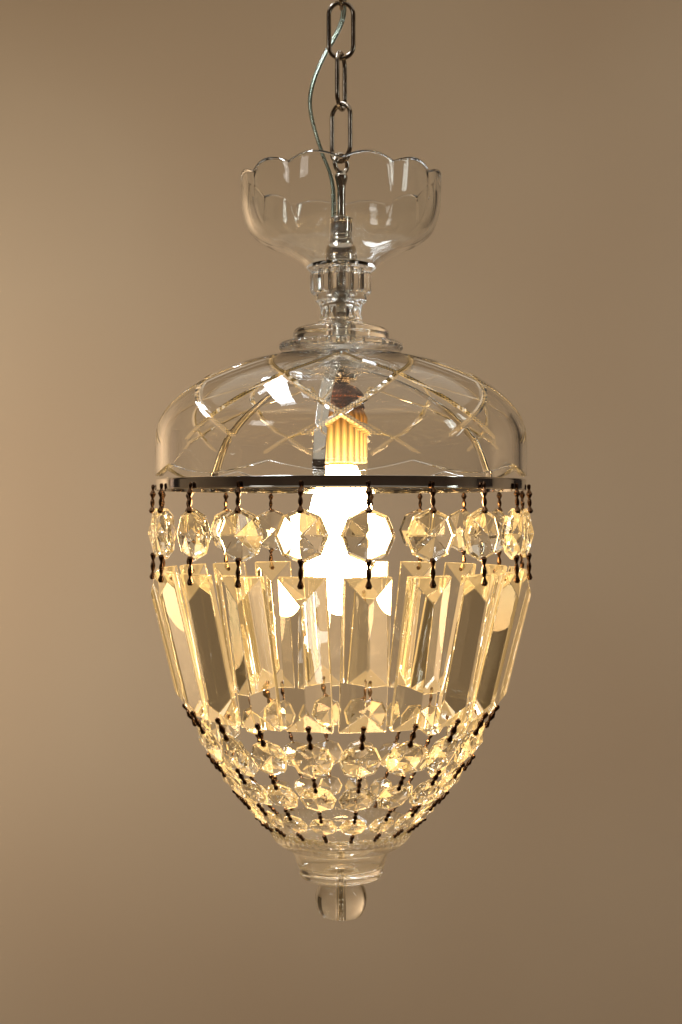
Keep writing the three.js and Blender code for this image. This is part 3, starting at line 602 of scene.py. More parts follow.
def chain_link(number, yaw):
    """A link of round wire: a race-track of two straight sides and two half circles, butted on one side."""
    low, high, _ = extent(f"chain_link_{number}")
    centre = (low + high) / 2
    bend = (LINK_WIDTH - LINK_WIRE) / 2
    side = high - low - LINK_WIRE - 2 * bend
    half = side + np.pi * bend
    s = np.linspace(BUTT_GAP, 2 * half - BUTT_GAP, 96) + side / 2
    flip = np.where((s // half) % 2 == 0, 1.0, -1.0)
    rest = s % half
    a = np.maximum(rest - side, 0) / bend
    x = flip * bend * np.where(rest <= side, 1, np.cos(a))
    z = flip * np.where(rest <= side, rest - side / 2, side / 2 + bend * np.sin(a))
    path = np.stack([x, 0 * x, centre + z], axis=-1)
    wire = carried(path, round_section(LINK_WIRE / 2, 20), (0, 1, 0))
    make(
        f"steel_link_{number}", [skin(yawed(wire, yaw))], CHAIN_NICKEL, f"chain_{number}",
        "polished_nickel", [f"chain_link_{number}"], sharp=60,
    )


disc_with_post()
canopy_cup()
canopy_loop()
flex_bush()
for number, yaw in enumerate(LINK_YAWS, 1):
    chain_link(number, yaw)

# ---- Stem ----


def stem_loop():
    """A closed eye on a rod that swells into a collar below the eye and is threaded at its foot."""
    low, high, _ = extent("stem_loop")
    ring = 4.75
    centre = high - ring - LINK_WIRE / 2
    neck = centre - ring
    rod = 2.4
    profile = flowing([
        (rod, low + 7), (rod, neck - 12), (2.7, neck - 7), (3.6, neck - 3), (3.3, neck - 1), (1.6, neck + 1),
    ], 8)
    turns = np.linspace(0, 7, 43)
    thread = np.stack([2.2 + 0.22 * np.cos(2 * np.pi * turns), low + turns], axis=-1)
    rows = np.vstack([[(0, low)], thread, profile, [(0, neck + 1)]])
    parts = [loop_ring(centre, ring, LINK_WIRE, EYE_YAW), solid(rows, 40)]
    make("stem_eye", parts, NICKEL, "lamp", "polished_nickel", ["stem_loop"])


def stem_coupling():
    """An open cup that the flex goes into, with a bead round its mouth and a groove above its foot."""
    low, high, radius = extent("stem_coupling")
    floor, bead, mouth = low + 4, radius + 0.25, radius - 0.9
    profile = eased([
        (0, low), (radius - 0.8, low), (radius, low + 0.8), (radius, low + 1.9), (radius - 0.5, low + 2.3),
        (radius, low + 2.7), (radius, high - 1), (bead, high - 0.7), (bead, high), (mouth, high),
        (mouth, floor), (0, floor),
    ], 0.25)
    turned_piece("flex_cup", profile, 64, NICKEL, "lamp", "polished_nickel", "stem_coupling")


def bowl_nut():
    """A domed nut: a flat flange, a full round shoulder and a short neck."""
    low, high, radius = extent("bowl_nut")
    neck = 6.5
    seat = low + 7
    a = np.linspace(0, np.pi / 2, 20)
    rise = low + (high - low) * (0.22 + 0.6 * np.sin(a))
    shoulder = np.stack([neck + (radius - neck) * np.cos(a), rise], axis=-1)
    flange = [(BORE, low), (radius, low), (radius + 0.3, low + 0.6), (radius, low + 1.2)]
    top = [(neck, high - 1), (neck - 0.3, high), (0, high)]
    rows = np.vstack([[(0, seat), (BORE, seat)], flange, shoulder, top])
    turned_piece("domed_nut", rows, 72, NICKEL, "lamp", "polished_nickel", "bowl_nut")


def stem_tube():
    """A tube, threaded all along, from the nut down through the glass to the lampholder."""
    low, high, radius = extent("stem_tube")
    hollow, pitch = 3.2, 1.0
    z = np.linspace(low, high, 6 * int((high - low) / pitch) + 1)
    outside = np.stack([radius - 0.18 + 0.16 * np.cos(2 * np.pi * (z - low) / pitch), z], axis=-1)
    rows = np.vstack([[(hollow, low)], outside, [(hollow, high)]])
    turned_piece("threaded_tube", rows, 40, NICKEL, "lamp", "polished_nickel", "stem_tube")


stem_loop()
stem_coupling()
bowl_nut()
stem_tube()

# ---- Glass body ----


def lobe(angle, count, start=0.0):
    """1 on a lobe and 0 in a notch: |cos(count / 2 * (angle - start))|, with a lobe at the start."""
    return np.abs(np.cos(count / 2 * (angle - start)))


PETAL_CREASE = 0.022  # how far the bowl is taken in between two petals, as a share of its radius
PETAL_DROP = 3.4  # how far the lip drops between two petals
CREASE_FROM, DROP_FROM = 0.12, 0.35  # the share of the bowl's height that each starts at


def top_bowl():
    """A pressed bowl of twelve petals with a scalloped lip.

    Its radius shrinks by a share of 1 - lobe towards the lip, and its lip drops by the same share.
    """
    low, high, rim = extent("top_bowl")
    height = high - low
    foot, wall, floor = 18, 3, 12
    reach = rim - foot
    corners = [
        (foot, 0), (foot + 0.12 * reach, 0.09), (foot + 0.36 * reach, 0.2), (foot + 0.66 * reach, 0.29),
        (foot + 0.87 * reach, 0.41), (rim - 0.9, 0.62), (rim - 0.2, 0.86), (rim, 0.975),
    ]
    outside = flowing([(r, low + share * height) for r, share in corners], 7)
    lip = [(rim - 0.4, high - 0.3), (rim - 1.3, high), (rim - 2.2, high - 0.4)]
    inset = np.linspace(1.6, wall, len(outside))[:, None] * [1, 0]
    lift = np.linspace(2.8, 0, len(outside))[:, None] * [0, 1]
    inside = (outside - inset + lift)[::-1]
    inside = inside[inside[:, 0] > floor]
    rows = np.vstack([[(BORE, low), (foot - 3, low)], outside, lip, inside, [(BORE, low + wall)]])

    def petals(angle, r, z):
        share = np.clip((z - low) / height, 0, 1)
        notch = 1 - lobe(angle, BOWL_LOBES, math.radians(15))
        rise = np.clip((share - CREASE_FROM) / (1 - CREASE_FROM), 0, 1)
        drop = PETAL_DROP * notch * np.clip((share - DROP_FROM) / (1 - DROP_FROM), 0, 1) ** 1.5
        return r * (1 - PETAL_CREASE * notch * rise), z - drop

    turned_piece(
        "petal_bowl", rows, 480, CLEAR_GLASS, "lamp", "clear_glass", "top_bowl", petals, sharp=24, clear=True
    )


def spindle():
    """A pressed baluster: a fluted collar, a waist between two beads, a stepped shoulder and a cut flange."""
    low, high, flange = extent("glass_spindle")
    collar_radius, neck, shoulder = 16.3, 14, 25.6
    flute_depth, ridge_depth, facet_depth = 1.3, 0.9, 0.7
    outline = [
        (BORE, high), (neck, high), (collar_radius, high - 1.2), (collar_radius, high - 11.6),
        (15.2, high - 13), (neck, high - 13.4), (neck, high - 16.6), (12.2, high - 17.6), (11, high - 20),
        (10.6, high - 23.5), (11.6, high - 27), (14.5, high - 29.4), (19, high - 30.2), (24.6, high - 31.8),
        (shoulder, high - 34), (shoulder, high - 38.6), (31.6, high - 39), (flange, high - 40.2),
        (flange, low + 0.9), (flange - 0.9, low), (BORE, low),
    ]
    rows = eased(outline, 1.1, 5)

    def cuts(angle, r, z):
        collar = (z > high - 13.2) & (z < high - 0.8) & (r > 14.5)
        flute = 1 - lobe(angle, COLLAR_FLUTES)
        waist = (z < high - 17.5) & (z > high - 29.8)
        ridge = 1 - lobe(angle, 12)
        edge = r > flange - 1.6
        facet = 1 - lobe(angle, 2 * COLLAR_FLUTES)
        return r - flute_depth * flute * collar - ridge_depth * ridge * waist - facet_depth * facet * edge, z

    turned_piece(
        "glass_baluster", rows, 480, CLEAR_GLASS, "lamp", "clear_glass", "glass_spindle", cuts, sharp=28,
        clear=True,
    )


# The dome's cut bands run straight over (angle, level): a band gains half a lobe of angle in one level.
CELLS = 24  # columns to half a lobe, and rows to a level, so that bands lie on the grid's diagonals
BAND_CELLS = 2
BAND_DEPTH = 1.05
STROKE_DEPTH = 0.8
STROKE_HEIGHT = 11
NODE_HEIGHTS = (60, 47.2, 26.2)  # above the rim, where two bands cross: at levels 2, 1 and 0
CROWN_ROWS, HEM_ROWS = 12, 14
UNCUT = -9.0  # a level that no band reaches
DOME_WALL = 4
DOME_SHOULDER = 49.4  # from the dome's top down to where its side stands straight
DOME_CROWN = 23  # the radius that the dome's flat top rounds off from
ROUNDNESS = 2 / 2.08
SCALLOP_DEPTH, SCALLOP_REACH = 5.2, 8.6


def dome_line(radius, top, shoulder, rim):
    """A quarter of a rounded ellipse, r = R sin(a)^p and z = shoulder + H cos(a)^p with p = 2 / 2.08, as fine
    rows from the crown to the side, and the straight side down to the rim."""
    first = math.asin((DOME_CROWN / radius) ** (1 / ROUNDNESS))
    a = np.linspace(first, np.pi / 2, 400)
    side = np.clip(np.cos(a), 0, 1) ** ROUNDNESS
    line = np.stack([radius * np.sin(a) ** ROUNDNESS, shoulder + (top - shoulder) * side], axis=-1)
    return np.vstack([line, [(radius, shoulder - 8), (radius, rim)]])


def along_dome(line, high, low, count, last=False):
    """Points of a falling line at `count` even heights, with the lowest one only if it is the last."""
    heights = np.linspace(high, low, count, endpoint=last)
    return np.stack([np.interp(-heights, -line[:, 1], line[:, 0]), heights], axis=-1)


def band(angle, level, turn):
    """How deep the bands that turn one way are at an angle and a level, from 0 at their edges to 1."""
    half_lobe = np.pi / DOME_LOBES
    away = np.mod(angle - turn * level * half_lobe + half_lobe, 2 * half_lobe) - half_lobe
    return 1 - np.abs(away) / (BAND_CELLS * half_lobe / CELLS)


def groove(angle, level):
    """How deep the cut is at an angle and a level: the lattice, and the strokes that fade out below it."""
    depth = np.clip(np.maximum(band(angle, level, -1), band(angle, level, 1)), 0, 1)
    lattice = depth * ((level >= 0) & (level <= 2))
    fade = np.clip(1 + 2 * level, 0, 1) * ((level < 0) & (level > -0.6))
    return BAND_DEPTH * lattice + STROKE_DEPTH * depth * fade


def cut_dome():
    """The blown dome with its mitre-cut lattice.

    Each point of the skin sinks along its normal by depth * max(1 - |angle - band| / half width) over the
    bands. Cells have a middle point, so that each band's edges and floor are edges of the mesh.
    """
    rim, top, radius = extent("cut_glass_dome")
    shoulder = top - DOME_SHOULDER
    columns = 2 * DOME_LOBES * CELLS
    angle = np.linspace(0, 2 * np.pi, columns, endpoint=False)[None, :]
    outer = dome_line(radius, top, shoulder, rim)
    inner = dome_line(radius - DOME_WALL, top - DOME_WALL, shoulder, rim)

    def placed(rows, level, angle):
        """Each row at each angle, as points: sunk along the profile's normal, with the scalloped rim."""
        r, z = rows[:, :1] + 0 * angle, rows[:, 1:] + 0 * angle
        slope = np.clip((z - shoulder) / (top - shoulder), 0, 1)
        cut = groove(angle, level[:, None] + 0 * angle)
        low = np.clip((rim + SCALLOP_REACH - z) / SCALLOP_REACH, 0, 1)
        lift = SCALLOP_DEPTH * low * (1 - lobe(angle, DOME_LOBES))
        r = r - cut * np.sqrt(1 - slope**2)
        z = z - cut * slope + lift
        return np.stack([r * np.sin(angle), -r * np.cos(angle), z], axis=-1)

    def uncut(rows):
        """Rows that no band cuts, all round."""
        return placed(rows, np.full(len(rows), UNCUT), angle)

    high_node, middle_node, low_node = (rim + height for height in NODE_HEIGHTS)
    rows = np.vstack([
        along_dome(outer, outer[0, 1], high_node, CROWN_ROWS),
        along_dome(outer, high_node, middle_node, CELLS),
        along_dome(outer, middle_node, low_node, CELLS),
        along_dome(outer, low_node, low_node - STROKE_HEIGHT, CELLS // 2),
        along_dome(outer, low_node - STROKE_HEIGHT, rim, HEM_ROWS, last=True),
    ])
    level = np.concatenate([
        np.full(CROWN_ROWS, -UNCUT), np.linspace(2, 1, CELLS, endpoint=False),
        np.linspace(1, 0, CELLS, endpoint=False), np.linspace(0, -0.5, CELLS // 2, endpoint=False),
        np.full(HEM_ROWS, UNCUT),
    ])
    top_ring = turned([(BORE, inner[0, 1]), (BORE, top), (18, top)], columns)
    lip_radius = radius - DOME_WALL / 2
    lip = [(lip_radius + 1.2, rim - 0.3), (lip_radius, rim - 0.45), (lip_radius - 1.2, rim - 0.3)]
    inside = np.vstack([
        along_dome(inner, rim, shoulder, 12), along_dome(inner, shoulder, inner[0, 1], 26, last=True),
    ])
    whole = np.concatenate([top_ring, placed(rows, level, angle), uncut(np.array(lip)), uncut(inside)])

    first, last = CROWN_ROWS, CROWN_ROWS + 2 * CELLS + CELLS // 2
    middle_angle = angle + np.pi / columns
    middle_level = level[first:last] - 0.5 / CELLS
    middles = placed((rows[first:last] + rows[first + 1 : last + 1]) / 2, middle_level, middle_angle)
    index = np.arange(len(whole) * columns).reshape(len(whole), columns)
    index = np.vstack([index, index[:1]])
    index = np.hstack([index, index[:, :1]])
    quads = np.stack([index[:-1, :-1], index[:-1, 1:], index[1:, 1:], index[1:, :-1]], axis=-1)
    cut_rows = slice(len(top_ring) + first, len(top_ring) + last)
    centres = len(whole) * columns + np.arange((last - first) * columns).reshape(last - first, columns)
    cells = quads[cut_rows]
    fans = [
        np.stack([cells[..., i], cells[..., (i + 1) % 4], centres], axis=-1).reshape(-1, 3) for i in range(4)
    ]
    plain = np.delete(quads, cut_rows, axis=0).reshape(-1, 4)
    points = np.vstack([whole.reshape(-1, 3), middles.reshape(-1, 3)])
    dome = make(
        "cut_dome", [(points, plain.tolist() + np.vstack(fans).tolist())], [DOME_GLASS, CUT_BANDS], "lamp",
        "clear_glass", ["cut_glass_dome"], sharp=17, clear=True,
    )
    # The upper wall of each groove gets the cut bands' look, a painted glow of lamplight.
    middle_level = middle_level[:, None]
    is_cut = groove(middle_angle, middle_level) > 0.05
    rises = band(middle_angle, middle_level, 1) > band(middle_angle, middle_level, -1)
    upper_walls = [is_cut, is_cut & ~rises, np.zeros_like(is_cut), is_cut & rises]
    numbers = np.concatenate([np.zeros(len(plain)), *[wall.ravel() for wall in upper_walls]])
    dome.data.polygons.foreach_set("material_index", numbers.astype(np.int32))


top_bowl()
spindle()
cut_dome()

# ---- Frame ----


def frame_hub():
    """A disc with eased edges that the straps hang from."""
    low, high, radius = extent("frame_hub")
    rows = eased([(BORE, low), (radius, low), (radius, high), (BORE, high)], 0.4, closed=True)
    turned_piece("hub_disc", rows, 72, CHROME, "lamp", "polished_nickel", "frame_hub")


def crystal_ring():
    """A flat band with a fine roll along both edges."""
    low, high, radius = extent("crystal_ring")
    inner, face, roll = radius - 1, radius - 0.25, radius - 0.2
    rows = eased([
        (inner, low), (roll, low - 0.05), (radius, low + 0.35), (face, low + 0.8),
        (face, high - 0.8), (radius, high - 0.35), (roll, high + 0.05), (inner, high),
    ], 0.2, closed=True)
    turned_piece("chromed_band", rows, 240, CHROME, "lamp", "polished_nickel", "crystal_ring")


STRAP_WIDTH, STRAP_THICK = 6, 1.1


def frame_strap(number):
    """A flat strap from under the hub out to the band: an eased rectangle carried along its line."""
    ring_low, ring_high, ring_radius = extent("crystal_ring")
    hub_low, _, hub_radius = extent("frame_hub")
    knee, foot = ring_radius - 8, ring_radius - 1.6
    rise = hub_low - CLEARANCE - ring_high
    stops = [
        (7.5, ring_high + rise), (hub_radius + 6, ring_high + rise), (knee * 0.5, ring_high + rise * 0.86),
        (knee * 0.72, ring_high + rise * 0.66), (knee * 0.9, ring_high + rise * 0.4),
        (knee, ring_high + rise * 0.12), (knee + 0.6, ring_high + 1.2), (foot, ring_high - 1.5),
        (foot, ring_low + 0.5),
    ]
    line = flowing(stops, 8)
    path = np.stack([0 * line[:, 0], -line[:, 0], line[:, 1]], axis=-1)
    w, t = STRAP_WIDTH / 2, STRAP_THICK / 2
    strap = carried(path, eased([(-t, -w), (t, -w), (t, w), (-t, w)], 0.35, closed=True), (1, 0, 0))
    yaw = FIRST_STRAP + (number - 1) * 360 / STRAP_COUNT
    make(
        f"chromed_strap_{number}", [skin(yawed(strap, yaw))], CHROME, "lamp", "polished_nickel",
        [f"frame_strap_{number}"], sharp=40,
    )


def hub_locknut():
    """A six-sided nut with rounded corners: the radius is divided by the cosine of the angle to a flat."""
    low, high, _ = extent("hub_locknut")
    flat, corner, inside = 8.5, 9.4, 8

    def flats(angle, r, z):
        across = flat / np.cos(np.mod(angle, np.pi / 3) - np.pi / 6)
        return np.where(r > inside, np.minimum(across, corner) * r / corner, r), z

    rows = eased([
        (BORE, low), (8.8, low), (corner, low + 0.6), (corner, high - 0.6), (8.8, high), (BORE, high),
    ], 0.2, closed=True)
    turned_piece("six_sided_nut", rows, 96, NICKEL, "lamp", "polished_nickel", "hub_locknut", flats, sharp=25)


frame_hub()
crystal_ring()
for number in range(1, STRAP_COUNT + 1):
    frame_strap(number)
hub_locknut()

# ---- Lampholder and bulb ----


def holder_cap():
    """A drawn metal cap: a shoulder, two beads and a skirted foot."""
    low, high, radius = extent("lampholder_cap")
    foot, wall = radius + 0.5, radius - 1.6
    rows = eased([
        (BORE, high), (radius * 0.66, high), (radius * 0.74, high - 1), (radius - 0.4, high - 4.2),
        (radius, high - 5.4), (radius, high - 7), (radius - 0.9, high - 7.8), (radius, high - 8.6),
        (radius, low + 2.6), (foot, low + 2), (foot, low + 0.3), (radius, low), (wall, low),
        (wall, high - 5), (BORE, high - 1.8),
    ], 0.5, closed=True)
    turned_piece("copper_cap", rows, 72, COPPER, "lamp", "dark_copper", "lampholder_cap")


def holder_skirt():
    """A ribbed plastic sleeve that glows amber with painted lamplight: its radius is taken in by (1 - lobe)
    between ribs.
    """
    low, high, radius = extent("lampholder_skirt")
    inside, thread = 12.4, 10.7
    rows = eased([
        (inside, low), (radius, low), (radius, low + 1.6), (radius - 0.5, low + 2.2), (radius, low + 2.8),
        (radius, high - 4), (12.3, high), (thread, high), (thread, high - 6), (inside, high - 7),
    ], 0.4, closed=True)

    def ribs(angle, r, z):
        ribbed_part = (r > 13) & (z > low + 2.5)
        return r - 0.9 * (1 - lobe(angle, SKIRT_RIBS)) * ribbed_part, z

    turned_piece(
        "ribbed_sleeve", rows, 12 * SKIRT_RIBS, LIT_SKIRT, "lamp", "cream_plastic", "lampholder_skirt", ribs,
        sharp=30,
    )


def bulb():
    """A candle bulb: r = R cos(a)^p below its widest and a soft swell up to the neck above it."""
    radius, neck, wall = bulb_radius, 8.4, 0.8
    widest = bulb_high - (bulb_high - bulb_low) * 0.4
    a = np.linspace(np.pi / 2, 0, 28)
    tip = radius * np.clip(np.cos(a), 0, 1) ** (2 / 2.3)
    lower = np.stack([tip, widest + (bulb_low - widest) * np.sin(a)], axis=-1)
    lower[0, 0] = 0
    swell = np.cos(np.linspace(0, np.pi / 2, 16)[1:])
    upper = np.stack([neck + (radius - neck) * swell, np.linspace(widest, bulb_high, 16)[1:]], axis=-1)
    outside = np.vstack([lower, upper])
    inside = outside[::-1] - [wall, 0]
    inside[:, 0] = np.maximum(inside[:, 0], 0)
    inside[-1] = (0, bulb_low + wall)
    inside[:, 1] = np.maximum(inside[:, 1], bulb_low + wall)
    rows = np.vstack([outside, inside])
    turned_piece("candle_bulb", rows, 64, LIT_BULB, "bulb", "lit_bulb_glass", "bulb_glass")


def bulb_screw():
    """A screw cap: a rolled thread, r = R + 0.4 cos(2 pi z / pitch), and a contact on top."""
    low, high, radius = extent("bulb_cap")
    pitch, contact = 3, 2.5
    z = np.linspace(low + 1, high - 6, 60)
    thread = np.stack([radius - 0.5 + 0.4 * np.cos(2 * np.pi * (z - low) / pitch), z], axis=-1)
    top = [(radius - 2.5, high - 3.5), (3, high - 1.2), (contact, high), (0, high)]
    rows = np.vstack([[(0, low), (radius - 0.4, low)], thread, top])
    turned_piece("bulb_screw_cap", rows, 48, BRASS_CAP, "bulb", "bulb_cap_metal", "bulb_cap")


def holder_core():
    """The plug inside the lampholder, with a low flange at its foot."""
    low, high, radius = extent("lampholder_core")
    plug = radius - 0.5
    rows = eased([
        (0, low), (radius, low), (radius, low + 3), (plug, low + 3.4), (plug, high), (0, high),
    ], 0.3)
    turned_piece("holder_insert", rows, 64, CREAM, "lamp", "cream_plastic", "lampholder_core")


holder_cap()
holder_skirt()
holder_core()
bulb_screw()
bulb()

# ---- Crystal strands ----
# The line that a strand hangs on: each stop is (radius, height), and each stretch leans in by its own angle.
PIN_TOP, PIN_MIDDLE = 9, 6.3
CRYSTAL_SIZE, CRYSTAL_THICK, GIRDLE = 25.5, 9.5, 1.6
PRISM_LENGTH, PRISM_WIDTH, PRISM_EDGE, PRISM_THICK, PRISM_HIP = 75.7, 22.5, 2.7, 8.4, 11.5
CRYSTAL_LEAN, MIDDLE_LEAN, PRISM_LEAN = 1.5, 5, 13.75
ROWS = [(19.6, 6.6, 22.5), (17, 6, 35.2), (12.9, 5.6, 38.8)]  # size, pin above and lean of each basket row
BEAD_STRETCH = 1.07  # the basket's beads are a little wider than tall
OCTAGON_RINGS = ((1.0, 0), (0.84, 0.30))  # each ring's share of the radius, and its rise from the girdle
OCTAGON_HOLE, PRISM_HOLE = 1.3, 3.2  # from a stone's edge to its drilled hole
STONE_EDGE, PRISM_GRIND = 0.15, 0.3  # the width of ground edges
CLEAR_SHARE, AMBER_GLINT_SHARE = 0.84, 0.95  # facets below the first keep the stone's own look, below the second get a painted amber glint, and the rest a painted bright glint
PIN_WAIST, PIN_SIDES = 0.62, 8
BAND_BEADS = (1.0, 1.7, 1.2, 1.75)  # the girths of the beads on each kind of pin
MIDDLE_BEADS = (1.65, 1.3, 1.7)
BASKET_BEADS = ((1.5, 1.6, 1.5), (1.25, 1.3, 1.2), (1.15, 1.2, 1.1), (1.15, 1.2, 1.1))
dice = np.random.default_rng(7)


def down(stop, length, lean):
    """The stop that lies `length` further down a line that leans in by `lean` degrees."""
    a = math.radians(lean)
    return np.array([stop[0] - length * math.sin(a), stop[1] - length * math.cos(a)])


def outward(stop, distance, lean):
    """The point a distance out from a stop, square to its line."""
    a = math.radians(lean)
    return np.array([stop[0] + distance * math.cos(a), stop[1] - distance * math.sin(a)])


def octagon(size, thick):
    """An eight-sided stone: eight facets rise from a steep edge facet to a point on each face. Ring corners
    are (R sin a, y, R cos a) for eight angles a."""
    a = np.arange(8) * np.pi / 4
    girdle = GIRDLE / 2 * thick / CRYSTAL_THICK
    rings = []
    for share, rise in OCTAGON_RINGS:
        y = girdle + (thick / 2 - girdle) * rise
        for side in (-1, 1):
            r = size / 2 * share
            rings.append(np.stack([r * np.sin(a), 0 * a + side * y, r * np.cos(a)], axis=-1))
    tips = np.array([[0, -thick / 2, 0], [0, thick / 2, 0]])
    return stone(np.vstack([*rings, tips]))


def prism():
    """A roof-shaped drop: a flat back with thin edges, a ridge down the front and a hip at each end."""
    w, h = PRISM_WIDTH / 2, PRISM_LENGTH / 2
    edge = PRISM_EDGE / 2
    ridge = edge - PRISM_THICK
    sides = [(x, y, z) for x in (-w, w) for y in (-edge, edge) for z in (-h, h)]
    return stone(np.array([*sides, (0, ridge, h - PRISM_HIP), (0, ridge, PRISM_HIP - h)]))


def bow_pin(start, end, beads):
    """A bow-tie pin between two (radius, height) points in the plane of a strand: its radius swells to each
    bead in turn, r = waist + (bead - waist) |cos(pi (count - 1) t)|^1.5, and closes round at both ends."""
    count = len(beads)
    t = np.linspace(0, 1, 4 * (count - 1) + 1)
    swell = np.interp(t * (count - 1), np.arange(count), beads)
    girths = PIN_WAIST + (swell - PIN_WAIST) * np.abs(np.cos(np.pi * (count - 1) * t)) ** 1.5
    a = np.array([0, -start[0], start[1]])
    b = np.array([0, -end[0], end[1]])
    along = (b - a) / np.linalg.norm(b - a)
    path = np.vstack([a - along * beads[0] * 0.7, a + (b - a) * t[:, None], b + along * beads[-1] * 0.7])
    girths = np.concatenate([[beads[0] * 0.6], girths, [beads[-1] * 0.6]])
    section = round_section(1, PIN_SIDES)[None] * girths[:, None, None]
    return skin(carried(path, section, (1, 0, 0)))


ring_low, ring_high, ring_radius = extent("crystal_ring")
strand_top = np.array([ring_radius - 0.5, ring_low - CLEARANCE])
crystal_top = down(strand_top, PIN_TOP, CRYSTAL_LEAN)
crystal_foot = down(crystal_top, CRYSTAL_SIZE, CRYSTAL_LEAN)
prism_top = down(crystal_foot, PIN_MIDDLE, MIDDLE_LEAN)
prism_foot = down(prism_top, PRISM_LENGTH, PRISM_LEAN)

# Where the pins hook in, a little in front of the stones' middle planes.
ring_hole = np.array([ring_radius + 0.9, (ring_low + ring_high) / 2 - 0.4])
over_crystal = outward(down(crystal_top, OCTAGON_HOLE, CRYSTAL_LEAN), 2.2, CRYSTAL_LEAN)
under_crystal = outward(down(crystal_foot, -OCTAGON_HOLE, CRYSTAL_LEAN), 2.2, CRYSTAL_LEAN)
over_prism = outward(down(prism_top, PRISM_HOLE, PRISM_LEAN), 4.0, PRISM_LEAN)
under_prism = outward(down(prism_foot, -PRISM_HOLE, PRISM_LEAN), 3.9, PRISM_LEAN)


def stones(name, parts, look, body, node_name, grind=STONE_EDGE):
    """Cut stones: flat facets with ground edges."""
    return make(name, parts, look, body, "cut_crystal", [node_name], sharp=0, clear=True, chamfer=grind)


def lit_by_chance(piece, facets):
    """Gives a seeded share of the facets the looks with a painted glint of lamplight."""
    catch_light(piece, LIT_FACETS, np.digitize(dice.random(facets), (CLEAR_SHARE, AMBER_GLINT_SHARE)))


def strand(number, yaw):
    """One strand: an octagon and a prism, with the pin that hooks it to the band and the pin between them."""
    tag = f"{number:02d}"
    body, name = f"strand_{tag}", f"crystal_strand_{tag}"
    points, faces = octagon(CRYSTAL_SIZE, CRYSTAL_THICK)
    placed = hung(points, down(crystal_top, CRYSTAL_SIZE / 2, CRYSTAL_LEAN), CRYSTAL_LEAN, yaw)
    bead = stones(f"octagon_{tag}", [(placed, faces)], OCTAGON_CRYSTAL, body, name)
    lit_by_chance(bead, len(faces))
    points, faces = prism()
    placed = hung(points, down(prism_top, PRISM_LENGTH / 2, PRISM_LEAN), PRISM_LEAN, yaw)
    drop = stones(f"prism_{tag}", [(placed, faces)], PRISM_CRYSTAL, body, name, PRISM_GRIND)
    # The hips and the side edges get a painted glow of lamplight.
    middles = np.array([abs(points[list(face)].mean(axis=0)) for face in faces])
    at_hip = middles[:, 2] > PRISM_LENGTH / 2 - PRISM_HIP
    at_side = middles[:, 0] > PRISM_WIDTH / 2 - 0.1
    catch_light(drop, [LIT_HIP], at_hip | at_side)
    pins = [bow_pin(ring_hole, over_crystal, BAND_BEADS), bow_pin(under_crystal, over_prism, MIDDLE_BEADS)]
    make(f"pins_{tag}", [(yawed(p, yaw), f) for p, f in pins], BRONZE, body, "pin_bronze", [name])


def pins_all_round(name, start, end, beads, node_name):
    """A pin in each column of the basket."""
    points, faces = bow_pin(start, end, beads)
    parts = [(yawed(points, yaw), faces) for yaw in STRAND_YAWS]
    make(name, parts, BRONZE, "basket", "pin_bronze", [node_name])


def basket_row(number, above, above_hole):
    """One row of the basket: an octagon in each column, with the pins that hang it from the row above."""
    size, pin_length, lean = ROWS[number]
    name = f"basket_row_{number + 1}"
    top = down(above, pin_length, lean)
    foot = down(top, size, lean)
    thick = CRYSTAL_THICK * size / CRYSTAL_SIZE
    inset = OCTAGON_HOLE * size / CRYSTAL_SIZE
    front = 0.2 * thick + 0.6
    points, faces = octagon(size, thick)
    points = points * [BEAD_STRETCH, 1, 1]
    placed = [(hung(points, down(top, size / 2, lean), lean, yaw), faces) for yaw in STRAND_YAWS]
    beads = stones(f"basket_stones_{number + 1}", placed, BASKET_CRYSTAL, "basket", name)
    lit_by_chance(beads, STRAND_COUNT * len(faces))
    top_hole = outward(down(top, inset, lean), front, lean)
    pins_all_round(f"basket_pins_{number + 1}", above_hole, top_hole, BASKET_BEADS[number], name)
    return foot, outward(down(foot, -inset, lean), front, lean)


for number, yaw in enumerate(STRAND_YAWS, 1):
    strand(number, yaw)
stop, hole = prism_foot, under_prism
for number in range(len(ROWS)):
    stop, hole = basket_row(number, stop, hole)
dish_low, dish_high, dish_radius = extent("bottom_dish")
dish_lip = (dish_radius + 0.6, dish_high + 0.2)
pins_all_round("dish_pins", hole, dish_lip, BASKET_BEADS[-1], f"basket_row_{len(ROWS)}")

# ---- Bottom dish and finial ----
BOLT_RADIUS = 1.5
BOLT_HOLE = BOLT_RADIUS + CLEARANCE
DISH_RIM_HEIGHT, DISH_STEP_HEIGHT = 10.7, 14.1
DISH_RIBS, NUT_KNURLS = 60, 30
BALL_FLAT = 5  # how much of the ball is ground off underneath


